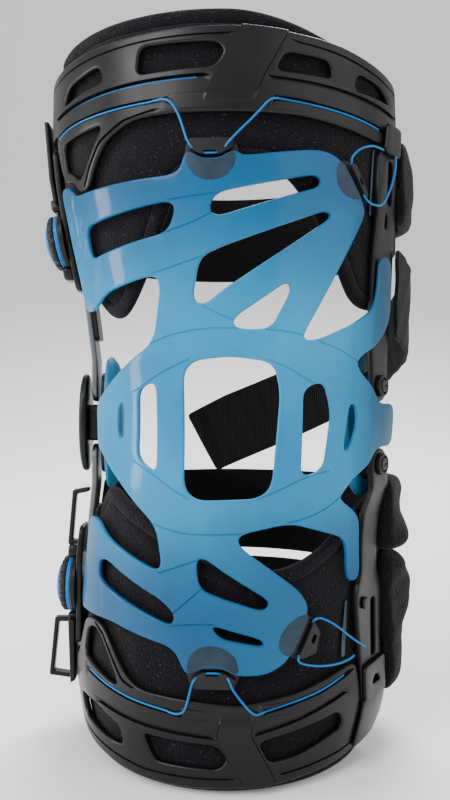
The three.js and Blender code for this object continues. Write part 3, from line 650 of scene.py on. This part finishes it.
# Padded liners: rounded walls of cloth, bound along the hem, with soft unevenness
liners = {
    "thigh_liner": {"body": "thigh", "rim": [
        [-98, 402.5], [2, 402.5], [12, 400.6], [22, 397], [32, 392.6], [42, 389], [66, 383]], "hem": [
        [-98, 292], [-78, 286], [-62, 258], [-46, 246], [-30, 268], [-14, 313], [2, 322], [18, 318],
        [32, 290], [45, 256], [66, 252]]},
    "shin_liner": {"body": "shin", "rim": [[-98, 0], [66, 0]], "hem": [
        [-98, 104], [-80, 110], [-69, 141], [-60, 152], [-45, 146], [-25, 134], [-8, 118], [4, 113],
        [20, 113], [35, 122], [50, 138], [66, 145]]},
}
linerBack, linerSink = -6, 0.6  # how far out the inner face is, and how far the outer face sinks
binding = {"width": 8.0, "soft": 1.2, "dip": 0.8}


def linerLoop(liner):
    edges = []
    for rows in (np.array(liner["hem"], float), np.array(liner["rim"], float)):
        angles = np.linspace(rows[0, 0], rows[-1, 0], 60)
        edges.append(np.stack([angles, smoothColumn(rows[:, 0], rows[:, 1], angles)], -1))
    return roundedLoop(np.vstack([edges[0], edges[1][::-1]]), 7, 2.4)


def unevenness(flat):
    x, y = flat.T
    return (0.35 * np.sin(x / 7 + 1.3 * np.sin(y / 19)) * np.sin(y / 11 + 0.8 * np.sin(x / 23))
            + 0.25 * np.sin(x / 3.7 + y / 5.3) * np.sin(y / 9.1 - x / 13))


for name, liner in liners.items():
    loop = linerLoop(liner)
    seams = [offsetLine(loop, binding["width"] + d) for d in (-binding["soft"], 0, binding["soft"])]

    def relief(flat, loop=loop):
        inward = lineDistance(flat, loop, True)
        dip = np.clip(1 - np.abs(inward - binding["width"]) / binding["soft"], 0, 1)
        return -binding["dip"] * dip - linerSink + unevenness(flat) * np.clip(inward / 4, 0, 1)

    lines = [np.vstack([seam, seam[:1]]) for seam in seams]
    piece = sheetMesh(name + "_padding", [loop], legPlace, linerBack, 0, 3.0, 4.0, 0.25, relief, lines)
    finishPiece(piece, "cloth", "cloth", liner["body"], [name])
print("liners done")

# Lugs under the web's corners, each slotted for its lace
lugs = {
    "lug_top": {
        "body": "thigh",
        "outline": [[-11.3, 334.6], [3.1, 334.6], [4.3, 322], [1, 311], [-8.8, 311], [-12.1, 322]],
        "keeper": [[-11, 334.2], [2.8, 334.2], [2.6, 328.6], [-1.3, 324.8], [-7, 324.8], [-10.8, 328.6]],
        "slots": [[[-6.2, 327.4], [-2.3, 327.4], [-2.3, 325.4], [-6.2, 325.4]]]},
    "lug_upper_right": {
        "body": "thigh",
        "outline": [[35, 329], [41, 327.6], [47.4, 312.4], [45.6, 306], [42, 305], [35, 318]],
        "keeper": [[38.4, 328], [40.8, 327], [47.2, 312.4], [46, 308.6], [45.4, 309], [38.2, 325]],
        "slots": [[[42, 320.6], [43.2, 319.6], [44.4, 316.4], [43.2, 317]]]},
    "lug_bottom": {
        "body": "shin", "outline": [[-12, 77], [3, 77], [5, 65], [3.4, 53.4], [-11.4, 53.4], [-14, 65]],
        "keeper": [[-11, 53.8], [3, 53.8], [3.4, 59.6], [-0.6, 63.4], [-7.8, 63.4], [-11.4, 59.6]],
        "slots": [[[-6.4, 63], [-1.6, 63], [-1.6, 61], [-6.4, 61]]]},
    "lug_lower_right": {
        "body": "shin", "outline": [[20, 88], [27.6, 90], [31.6, 80], [29.6, 68], [22.6, 65.4], [17.6, 72]],
        "keeper": [[28.2, 88], [31.2, 80], [29.4, 68.6], [23.2, 66], [22.4, 68], [27.6, 84]],
        "slots": [[[28.4, 79], [29.6, 78], [28.6, 74], [27.4, 75]]]},
}
lugSeat, lugFace, keeperRise = 0.8, 2.6, 2.7
for name, lug in lugs.items():
    loops = [roundedLoop(lug["outline"], 5, 1.2)] + [roundedLoop(slot, 0.8, 0.6) for slot in lug["slots"]]
    lines, relief = combined([raised(lug["keeper"], keeperRise, 0.7)])
    tab = sheetMesh(name + "_tab", loops, legPlace, lugSeat, lugFace, 0.4, 2.4, 0.35, relief, lines)
    finishPiece(tab, "lug", "lug", lug["body"], [name])

# The lugs' discs, showing as smoky inlays in the web's face
inlays = {
    "lug_top_disc": {"body": "thigh", "outline": [
        [-11.3, 326.4], [-10, 326.4], [-6.7, 322.8], [-1.5, 322.8], [1.8, 326.6], [3, 326.4], [2.6, 319],
        [-0.3, 313.4], [-4.3, 312], [-8, 313.4], [-11, 319]]},
    "lug_upper_right_disc": {"body": "thigh", "outline": [
        [34.4, 327], [38.6, 318.6], [43, 309], [40, 307.6], [36.4, 308.6], [33.4, 313], [32.6, 319],
        [33, 324]]},
    "lug_bottom_disc": {"body": "shin", "outline": [
        [-12.6, 62.6], [-11, 62.6], [-7.6, 65.8], [-0.6, 65.8], [2.6, 62.4], [4.2, 62.4], [3.4, 70], [0, 75],
        [-4.4, 76.6], [-8.8, 75.2], [-12, 70.4]]},
    "lug_lower_right_disc": {"body": "shin", "outline": [
        [26, 90.4], [26.4, 88], [20.4, 69.6], [18, 70], [16, 74], [16.6, 80], [19.4, 86], [23, 89.6]]},
}
inlaySink, inlayRise = 0.3, 0.12
webFace = web["low"] + web["thick"]
for name, inlay in inlays.items():
    loops = [roundedLoop(inlay["outline"], 3, 1.2)]
    disc = sheetMesh(name, loops, legPlace, webFace - inlaySink, webFace + inlayRise, 0.3, 2.4, 0.6)
    finishPiece(disc, "smoke", "lug", inlay["body"])
print("lugs done")

# Straps round the back, folded over a flap at the right arm
fold = {"angle": 80, "spread": 11, "flapSpread": 16, "height": 5}
bandSeat, bandFace, bandSink = 0.4, 3.6, 0.3
flapForm = {"seat": 3.9, "face": 5.4, "lip": 0.8, "shoulder": 110, "tip": 116, "taper": 3}


def foldRise(x, spread):
    return fold["height"] * np.exp(-((x / degreeLength - fold["angle"]) / spread) ** 2)


straps = {
    # flap: its own heights, puff: how far it bulges at the lower and the upper edge, in folds
    "thigh_strap": {
        "body": "thigh", "angles": (67, 260), "heights": (289, 351), "flap": (302, 352), "puff": (1.5, 0.5)},
    "calf_upper_strap": {
        "body": "shin", "angles": (66.4, 259.3), "heights": (92, 150), "flap": (113, 157),
        "puff": (3.0, 1.4)},
    "calf_lower_strap": {
        "body": "shin", "angles": (66.4, 259.3), "heights": (34, 86), "flap": (32, 112), "puff": (1.2, 3.0)},
}


def strapWaves(flat):
    x, y = flat.T
    return 0.35 * np.sin(x / 21 + 0.7 * np.sin(y / 17)) + 0.3 * np.sin(y / 8.5 + np.sin(x / 31))


def flapFace(strap):
    low, high = strap["flap"]

    def face(x, y):
        t = np.clip((y - low) / (high - low), 0, 1)
        end = np.clip(1 - (2 * t - 1) ** 6, 0, 1) ** 0.5
        lumps = (1.0 + 0.09 * np.sin(y / 5.6 + 1.7 * np.sin(x / 9 + y / 37)) + 0.11 * np.sin(x / 6.3 + y / 13)
                 + 0.03 * np.sin(y / 2.6 - x / 4.4))
        puff = strap["puff"][0] * (1 - t) + strap["puff"][1] * t
        swell = flapForm["lip"] + foldRise(x, fold["flapSpread"]) * puff
        return flapForm["face"] + swell * end * lumps
    return face


for name, strap in straps.items():
    (first, last), (low, high) = strap["angles"], strap["heights"]
    loop = roundedLoop([[first, low], [last, low], [last, high], [first, high]], 3, 2.4)
    piece = sheetMesh(name + "_band", [loop], legPlace, bandSeat, bandFace, 1.5, 4.5, 0.25,
                      lambda flat: strapWaves(flat) - bandSink)
    finishPiece(piece, "looped", "strap", strap["body"], [name])
    low, high = strap["flap"]
    shoulder, tip, taper = flapForm["shoulder"], flapForm["tip"], flapForm["taper"]
    flap = roundedLoop([[first, low], [shoulder, low + taper], [tip, (low + high) / 2],
                        [shoulder, high - taper], [first, high]], 9, 2.0)
    tab = sheetMesh(name + "_flap", [flap], legPlace, flapForm["seat"], flapFace(strap), 2.0, 2.2, 0.3)
    finishPiece(tab, "looped", "strap", strap["body"])

# Loose knee strap, in two pieces
kneeStrap = {
    # way: the strap's own direction in the flat layout; split: where the pieces meet along it
    "corners": [[65.6, 288], [200, 190], [184, 148], [65.6, 238]], "way": (0.909, -0.417), "split": 70,
    "seat": 5.4, "thick": 2.6, "ribLength": 11, "ribHeight": 0.3,
    "halves": {
        "knee_strap_front": {"bodies": ("hinge_links", "thigh"), "depths": (0.026, -0.012),
                             "flat": (0.048, 0.087), "stands": ["knee_strap"]},
        "knee_strap_back": {"bodies": ("shin", "hinge_links"), "depths": (0.080, 0.046),
                            "flat": (0.048, 0.130), "stands": []}},
}


def kneeStrapAlong(x, y):
    return x * kneeStrap["way"][0] + y * kneeStrap["way"][1]


def kneeStrapSeat(x, y):
    ribs = np.sin(kneeStrapAlong(x, y) * 2 * math.pi / kneeStrap["ribLength"])
    return kneeStrap["seat"] + foldRise(x, fold["spread"]) + kneeStrap["ribHeight"] * ribs


def kneeStrapFace(x, y):
    return kneeStrapSeat(x, y) + kneeStrap["thick"]


loop = roundedLoop(kneeStrap["corners"], 3, 2.4)
way = np.array(kneeStrap["way"])
across = np.array([-way[1], way[0]])
seam = np.array([way * kneeStrap["split"] + across * reach for reach in np.linspace(200, 340, 71)])
for name, half in kneeStrap["halves"].items():
    front = name == "knee_strap_front"
    piece = sheetMesh(name, [loop], legPlace, kneeStrapSeat, kneeStrapFace, 1.0, 2.4, 0.4, lines=[seam],
                      walled=True, keep=lambda middles, front=front: (
                          (kneeStrapAlong(*middles.T) < kneeStrap["split"]) == front))
    finishPiece(piece, "strap", "strap", None, half["stands"])
    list(half["bodies"])
    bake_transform(piece)
print("straps done")


# Flat plates: a piece of the frame laid out across a bar's own plane, which turns and bends with its rows
def barPlace(rows, side):
    rows = np.array(rows, float)

    def place(x, z, out):
        turn = np.radians(np.interp(z, rows[:, 2], rows[:, 3]))
        middleX, middleY = np.interp(z, rows[:, 2], rows[:, 0]), np.interp(z, rows[:, 2], rows[:, 1])
        normalX, normalY = side * np.cos(turn), -np.sin(turn)
        acrossX, acrossY = np.sin(turn), side * np.cos(turn)
        points = np.stack([middleX + acrossX * x + normalX * out, middleY + acrossY * x + normalY * out,
                           z + 0 * x], -1)
        return (points + shift) * mm
    return place


def barLoop(arm, radius=6):
    # the outline up one edge and down the other, from height and width rows or from corners, with a half
    # round at the height of its pivot
    endRadius = 9
    rows = np.array(arm.get("widths", [[0, 0]]), float)
    right = arm.get("corners", [(w / 2, z) for z, w in rows])
    left = arm.get("front", [(-w / 2, z) for z, w in rows[::-1]])
    angles = np.radians(np.linspace(0, 180, 25)[1:-1])
    low, high = arm.get("low"), arm.get("high")
    half = [(endRadius * math.cos(a), endRadius * math.sin(a)) for a in angles]
    top = [] if high is None else [(x, high + z) for x, z in half]
    bottom = [] if low is None else [(-x, low - z) for x, z in half]
    return roundedLoop([*right, *top, *left, *bottom], radius, 1.4, 1.0)


leftHinge = {"x": -75.0, "y": 0.0, "turn": 0.0, "side": -1, "reach": 3.4}
rightHinge = {"x": 80.8, "y": -40.0, "turn": 37.0, "side": 1, "reach": 4.9}
armThick = 3.5
upperPivot, lowerPivot = 209, 165


def hingeRow(hinge, z, out=None):
    turn = math.radians(hinge["turn"])
    out = hinge["reach"] + armThick / 2 if out is None else out
    x, y = hinge["x"] + hinge["side"] * math.cos(turn) * out, hinge["y"] - math.sin(turn) * out
    return [x, y, z, hinge["turn"]]


def hingePlane(hinge):
    # the plane of the hinge's own link, from below the lower pivot to above the upper one
    return [hingeRow(hinge, 140, 0), hingeRow(hinge, 230, 0)]


arms = {
    "left_thigh_bar": {
        "body": "thigh", "finish": "steel", "side": -1, "low": upperPivot,
        "rows": [hingeRow(leftHinge, 190), hingeRow(leftHinge, 226), [-87.6, 0, 282, 0]],
        "widths": [[upperPivot, 18], [226, 18], [282, 16]]},
    "left_shin_bar": {
        "body": "shin", "finish": "steel", "side": -1, "high": lowerPivot,
        "rows": [[-84.6, 0, 106, 0], hingeRow(leftHinge, 150), hingeRow(leftHinge, 180)],
        "widths": [[106, 16], [150, 18], [lowerPivot, 18]]},
    "left_thigh_arm": {
        "body": "thigh", "finish": "frame", "side": -1,
        "rows": [[-89.6, 0, 268, 0], [-95.6, 0, 300, 0], [-100.6, 0, 330, 0], [-103.2, 0, 353, 0]],
        "widths": [[268, 20], [284, 24], [300, 30], [353, 30]]},
    "left_shin_arm": {
        "body": "shin", "finish": "frame", "side": -1,
        "rows": [[-88.6, 0, 53, 0], [-88.6, 0, 108, 0], [-87.4, 0, 124, 0]],
        "widths": [[53, 30], [100, 30], [124, 22]]},
    "right_thigh_arm": {
        "body": "thigh", "finish": "frame", "side": 1, "low": upperPivot,
        "rows": [hingeRow(rightHinge, 190), hingeRow(rightHinge, 228), [86.6, -45, 250, 38],
                 [87.6, -46.2, 290, 38], [89.3, -46.9, 340, 38]],
        "corners": [[9, upperPivot], [10, 228], [12, 250], [13, 290], [14, 340]],
        "front": [[-8, 340], [-7.6, 298], [-10, 284], [-11, 250], [-10, 228], [-9, upperPivot]],
        "slots": [[[3, 311], [9, 311], [9, 336], [3, 336]], [[0.5, 297], [4, 297], [4.6, 306], [2, 307]]]},
    "right_shin_arm": {
        "body": "shin", "finish": "frame", "side": 1, "high": lowerPivot,
        "rows": [[81.2, -46.8, 33, 37], [80, -46.6, 90, 37], [79.8, -46.8, 120, 37], [81, -46.6, 138, 37],
                 hingeRow(rightHinge, 152), hingeRow(rightHinge, 180)],
        "corners": [[12, 33], [12, 60], [15, 92], [13.4, 99], [8.6, 104], [8.6, 132], [12, 140], [11, 150],
                    [9, lowerPivot]],
        "front": [[-9, lowerPivot], [-9, 150], [-10, 132], [-10, 106], [-15, 98], [-16, 90], [-13, 60],
                  [-12, 33]],
        "slots": [[[-0.5, 58], [5.5, 58], [6.5, 90], [0.5, 90]]]},
}
for name, arm in arms.items():
    loops = [barLoop(arm)]
    loops += [roundedLoop(slot, 2.5, 1.0, 1.0) for slot in arm.get("slots", [])]
    piece = sheetMesh(name + "_plate", loops, barPlace(arm["rows"], arm["side"]), -armThick / 2, armThick / 2,
                      0.8, 4.0, 0.5)
    finishPiece(piece, arm["finish"], arm["finish"], arm["body"], [name])

# Covers and trim on the right arms
upperPlane = barPlace(arms["right_thigh_arm"]["rows"] + [[90.2, -47.4, 360, 38]], 1)
lowerPlane = barPlace(arms["right_shin_arm"]["rows"], 1)
moonMiddle, moonRadius = 44, 4.5
halfMoon = [(moonRadius * math.cos(a), moonMiddle + moonRadius * math.sin(a))
            for a in np.radians(np.linspace(0, 180, 13))]
trim = {
    # loops, plane, lower and upper face, finish, body
    "right_thigh_clip": ([roundedLoop([[-6, 338], [12, 338], [12, 354], [-4, 355]], 3, 1.0, 1.0)],
                         upperPlane, 2.0, 4.6, "frame", "thigh"),
    "right_shin_clip": ([roundedLoop([[-13, 37], [12, 37], [12, 57], [-13, 55]], 3, 1.0, 1.0),
                         roundedLoop(halfMoon, 0.8, 0.8, 1.0)], lowerPlane, 2.0, 4.4, "frame", "shin"),
    "right_shin_boss": ([roundedLoop([[-11.5, 86], [-5, 86], [-5, 92.6], [-11.5, 92.6]], 3.2, 0.8, 1.0)],
                        lowerPlane, 2.0, 3.8, "frameSoft", "shin"),
    "right_shin_foot": ([roundedLoop([[48.6, 37.6], [64.8, 38.4], [65.6, 22], [60, 15], [47.6, 12]], 3, 1.4)],
                        legPlace, 4.8, 6.8, "frame", "shin"),
    "right_thigh_strip": ([roundedLoop([[50.4, 303], [55.6, 303], [56.4, 340], [51, 340]], 2, 1.2)],
                          legPlace, 0.5, 1.6, "darkSteel", "thigh"),
    "right_shin_strip": ([roundedLoop([[41, 62], [43, 62], [46.4, 92], [44.4, 92]], 2, 1.2)],
                         legPlace, 0.5, 1.6, "darkSteel", "shin"),
}
for name, (loops, plane, low, high, finish, body) in trim.items():
    slot = "steel" if finish == "darkSteel" else "frame"
    finishPiece(sheetMesh(name, loops, plane, low, high, 0.6, 3.0), finish, slot, body)
print("arms done")


# Round pieces: a profile of radius and height turned about an axis
def spun(name, profile, steps, place, ridges=None):
    mesh = bpy.data.meshes.new(name)
    work = bmesh.new()
    line = [work.verts.new((r, 0, h)) for r, h in profile]
    edges = [work.edges.new(pair) for pair in zip(line, line[1:])]
    bmesh.ops.spin(work, geom=line + edges, cent=(0, 0, 0), axis=(0, 0, 1), dvec=(0, 0, 0),
                   angle=2 * math.pi, steps=steps, use_merge=True, use_duplicate=False)
    bmesh.ops.remove_doubles(work, verts=work.verts, dist=1e-4)
    bmesh.ops.recalc_face_normals(work, faces=work.faces)
    if ridges:
        for vert in work.verts:
            radius = math.hypot(vert.co.x, vert.co.y)
            if ridges["low"] <= vert.co.z <= ridges["high"] and radius > ridges["within"]:
                angle = math.atan2(vert.co.y, vert.co.x)
                swell = 1 + ridges["depth"] * math.cos(angle * ridges["count"]) / radius
                vert.co.x *= swell
                vert.co.y *= swell
    bmesh.ops.transform(work, matrix=Matrix.Scale(mm, 4) @ place, verts=work.verts)
    work.to_mesh(mesh)
    work.free()
    mesh.shade_smooth()
    mesh.set_sharp_from_angle(angle=math.radians(35))
    return newObject(name, mesh)


def hingeMatrix(hinge, z, stretch=1.0):
    # the profile's axis along the hinge plane's outer normal, its up along the leg
    turn = math.radians(hinge["turn"])
    normal = Vector((hinge["side"] * math.cos(turn), -math.sin(turn), 0))
    across = Vector((0, 0, 1)).cross(normal)
    basis = Matrix((across, Vector((0, 0, 1)), normal)).transposed().to_4x4()
    middle = Vector((hinge["x"] + shift[0], hinge["y"] + shift[1], z))
    return Matrix.Translation(middle) @ basis @ Matrix.Diagonal((1, stretch, 1, 1))


# Double hinges: a link, its pins and a pad at each side, a cover on the left and screws on the right
linkHalf, coverStretch, padStretch = 1.25, 2.15, 2.1
hingeMiddle = (upperPivot + lowerPivot) / 2
for name, hinge in (("left_link", leftHinge), ("right_link", rightHinge)):
    plane = barPlace(hingePlane(hinge), hinge["side"])
    loop = barLoop({"widths": [[lowerPivot, 20], [upperPivot, 20]], "low": lowerPivot, "high": upperPivot}, 5)
    piece = sheetMesh(name + "_plate", [loop], plane, -linkHalf, linkHalf, 0.6, 4.0, 0.4)
    finishPiece(piece, "frameSoft", "frame", "hinge_links", [name])
    pinEnd = hinge["reach"] - 1.2
    for k, z in enumerate((lowerPivot, upperPivot)):
        profile = [(0, 0), (3.1, 0), (3.1, pinEnd), (0, pinEnd)]
        pin = spun(f"{name}_pin_{k}", profile, 24, hingeMatrix(hinge, z))
        finishPiece(pin, "steel", "steel", "hinge_links")

coverProfile = [(0, 9.3), (12.6, 9.3), (13.5, 9.7), (14, 10.5), (14, 12.6), (13.4, 13.6), (12.2, 14.2),
                (11.2, 14.0), (10.6, 13.5), (6, 13.9), (0, 14.1)]
cover = spun("left_hinge_cover_shell", coverProfile, 72, hingeMatrix(leftHinge, hingeMiddle, coverStretch))
finishPiece(cover, "frame", "frame", "hinge_links", ["left_hinge_cover"])
pinProfile = [(0, 0), (2.5, 0), (2.5, 9.2), (0, 9.2)]
pin = spun("left_cover_pin", pinProfile, 24, hingeMatrix(leftHinge, hingeMiddle))
finishPiece(pin, "steel", "steel", "hinge_links")
padProfile = [(0, -11.2), (6, -11.8), (11, -11.8), (15, -10.4), (17.5, -8.4), (19.2, -5.6), (19.5, -3.6),
              (18.8, -1.9), (17, -1.7), (0, -1.7)]
for name, hinge in (("left_condyle_pad", leftHinge), ("right_condyle_pad", rightHinge)):
    pad = spun(name + "_cup", padProfile, 72, hingeMatrix(hinge, hingeMiddle, padStretch))
    finishPiece(pad, "pad", "pad", "hinge_links", [name])
screwProfile = [(0, 0), (6.2, 0), (6.2, 1.6), (5.6, 2.3), (4.6, 2.3), (4.3, 1.2), (3.9, 1.2), (3.7, 2.0),
                (0, 2.4)]
for name, z, body in (("right_upper_screw", upperPivot, "thigh"), ("right_lower_screw", lowerPivot, "shin")):
    base = rightHinge["reach"] + armThick + 0.3
    profile = [(r, base + h) for r, h in screwProfile]
    head = spun(name + "_head", profile, 40, hingeMatrix(rightHinge, z))
    finishPiece(head, "frameSoft", "frame", body, [name])
    middle = [roundedLoop([[-3.4, z - 3.4], [3.4, z - 3.4], [3.4, z + 3.4], [-3.4, z + 3.4]], 3.2, 0.7, 1.0),
              roundedLoop([[-2.4, z - 0.6], [2.4, z - 0.6], [2.4, z + 0.6], [-2.4, z + 0.6]], 0.5, 0.5, 1.0)]
    plane = barPlace(hingePlane(rightHinge), rightHinge["side"])
    piece = sheetMesh(name + "_slot", middle, plane, base + 1.4, base + 2.7, 0.4, 2.0)
    finishPiece(piece, "lug", "frame", body)

# Dark bars behind the left steel, and the block between their ends
spines = {
    "left_thigh_spine": {"body": "thigh", "rows": arms["left_thigh_bar"]["rows"], "faces": (-4.7, -1.9),
                         "widths": [[238, 17], [280, 15]]},
    "left_shin_spine": {"body": "shin", "rows": arms["left_shin_bar"]["rows"], "faces": (-4.7, -1.9),
                        "widths": [[108, 15], [136, 17]]},
    "left_link_block": {"body": "hinge_links", "rows": hingePlane(leftHinge), "faces": (1.3, 9.2),
                        "widths": [[175.8, 15], [198.2, 15]]},
}
for name, spine in spines.items():
    piece = sheetMesh(name, [barLoop(spine, 4)], barPlace(spine["rows"], -1), *spine["faces"], 0.5, 4.0, 0.5)
    finishPiece(piece, "frameSoft", "frame", spine["body"])
print("hinges done")

# Tightening dials: a base plate, a ribbed knob with a blue ring and face, and a flange above and below
dials = {
    "upper_dial": {"x": -95.6, "z": 300, "lean": 9.4, "body": "thigh"},
    "lower_dial": {"x": -88.7, "z": 87, "lean": 0, "body": "shin"},
}
dialParts = {
    # profile of radius and height, steps, finish, slot and the node that it stands for
    "base_plate": ([(0, 2.15), (18.5, 2.15), (18.5, 4.4), (17.8, 5.1), (0, 5.1)], 64,
                   "frame", "frame", "base"),
    "ring": ([(12, 5.15), (16.6, 5.15), (17, 5.6), (17, 7.2), (16.4, 7.7), (12, 7.7), (12, 5.15)], 64,
             "accent", "lace", None),
    "knob_cap": ([(0, 7.8), (15.4, 7.8), (16.3, 8.3), (16.4, 9.4), (16.0, 10.6), (15.0, 11.7), (13.6, 12.4),
                  (12.4, 12.5), (12.2, 12.0), (0, 12.0)], 120, "frameSoft", "frame", "knob"),
    "face": ([(0, 11.9), (12, 11.9), (12, 12.8), (11.2, 13.8), (9, 14.5), (6.8, 14.8), (6.4, 14.4),
              (5.8, 14.4), (5.4, 14.9), (0, 15.2)], 64, "accent", "lace", None),
}
flange = {"near": 17, "far": 25, "low": 1.8, "high": 8.4}
knobRidges = {"low": 8.0, "high": 11.9, "within": 14, "depth": 0.55, "count": 18}
for name, dial in dials.items():
    lean = math.radians(dial["lean"])
    place = (Matrix.Translation((dial["x"] + shift[0], shift[1], dial["z"])) @ Matrix.Rotation(-lean, 4, "Y")
             @ Matrix.Rotation(math.radians(-90), 4, "Y"))
    for part, (profile, steps, finish, slot, node) in dialParts.items():
        ridges = knobRidges if part == "knob_cap" else None
        piece = spun(f"{name}_{part}", profile, steps, place, ridges)
        finishPiece(piece, finish, slot, dial["body"], [f"{name}_{node}"] if node else [])
    plane = barPlace(arms["left_" + dial["body"] + "_arm"]["rows"], -1)
    for side, end in ((1, "top"), (-1, "bottom")):
        near, far = dial["z"] + side * flange["near"], dial["z"] + side * flange["far"]
        tab = roundedLoop([[-8, near], [8, near], [6.5, far], [-6.5, far]], 3, 1.0, 1.0)
        piece = sheetMesh(f"{name}_flange_{end}", [tab], plane, flange["low"], flange["high"], 1.4, 2.6, 0.5)
        finishPiece(piece, "frame", "frame", dial["body"])
print("dials done")

# Strap fittings on the left, flat outlines of x and height, as deep as given
fittings = {
    "thigh_bracket": {"body": "thigh", "depth": 24, "side": 0.9, "corners": [
        [-101.9, 322], [-105, 322], [-107.5, 336], [-110.5, 371], [-107.6, 371], [-104.6, 336]]},
    "shin_bracket": {"body": "shin", "depth": 24, "side": 0.9, "corners": [
        [-91.6, 67], [-91.2, 30], [-94.6, 28], [-96, 67]]},
    "upper_ring": {"body": "shin", "depth": 6, "side": 0.6, "corners": [
        [-84.4, 147], [-95, 145], [-98, 111], [-90.6, 111], [-90.4, 114], [-94.8, 114], [-92.4, 142.4],
        [-84.4, 144]]},
    "lower_ring": {"body": "shin", "depth": 6, "side": 0.6, "corners": [
        [-96.6, 66], [-106, 66], [-109.5, 30], [-95.4, 28], [-95.4, 31], [-106.4, 32.8], [-103.4, 63],
        [-96.6, 63]]},
}


def sidePlace(x, z, out):
    return (np.stack([x, -out, z], -1) + shift) * mm


for name, fitting in fittings.items():
    half = fitting["depth"] / 2
    loop = roundedLoop(fitting["corners"], 1.3, 0.8, 1.0)
    piece = sheetMesh(name + "_frame", [loop], sidePlace, -half, half, 0.9, 3.0, fitting["side"])
    finishPiece(piece, "frame", "frame", fitting["body"], [name])
print("fittings done")

# Floor that sweeps up into a plain backdrop, and soft studio light
stage = {"half": 8.0, "front": -5.0, "bend": 1.2, "radius": 4.0, "top": 8.0, "steps": 32}
sweep = [(stage["front"], 0.0), (stage["bend"], 0.0)]
for step in range(1, stage["steps"] + 1):
    angle = math.pi / 2 * step / stage["steps"]
    sweep.append((stage["bend"] + stage["radius"] * math.sin(angle), stage["radius"] * (1 - math.cos(angle))))
sweep.append((stage["bend"] + stage["radius"], stage["top"]))
corners = [(side * stage["half"], y, z) for y, z in sweep for side in (-1, 1)]
floorMesh = bpy.data.meshes.new("floor")
floorMesh.from_pydata(corners, [], [(2 * k, 2 * k + 1, 2 * k + 3, 2 * k + 2) for k in range(len(sweep) - 1)])
floorMesh.shade_smooth()
floor = newObject("floor", floorMesh)
floorMaterial, _, floorShader = newMaterial("floor", (0.9, 0.9, 0.9), 0.8)
floorShader.inputs["Specular IOR Level"].default_value = 0.1
floorMesh.materials.append(floorMaterial)
world = bpy.data.worlds.new("studio")
world.use_nodes = True
world.node_tree.nodes["Background"].inputs["Color"].default_value = (1, 1, 1, 1)
world.node_tree.nodes["Background"].inputs["Strength"].default_value = 0.9
bpy.context.scene.world = world
lights = {
    "key": {"place": (-1.0, -1.1, 1.2), "size": 0.9, "power": 26},
    "fill": {"place": (1.3, -1.0, 0.8), "size": 1.6, "power": 12},
    "strip": {"place": (-1.5, -0.28, 0.3), "size": 0.3, "tall": 0.7, "power": 15},
    "back": {"place": (0.3, 1.4, 2.4), "size": 1.4, "power": 95},
}
for name, light in lights.items():
    lamp = bpy.data.lights.new(name, "AREA")
    lamp.shape = "RECTANGLE"
    lamp.size = light["size"]
    lamp.size_y = light.get("tall", light["size"])
    lamp.energy = light["power"]
    lampObject = bpy.data.objects.new(name, lamp)
    bpy.context.scene.collection.objects.link(lampObject)
    lampObject.location = light["place"]
    aim = Vector((0, 0, 0.2)) - lampObject.location
    lampObject.rotation_euler = aim.to_track_quat("-Z", "Y").to_euler()
print("stage done")
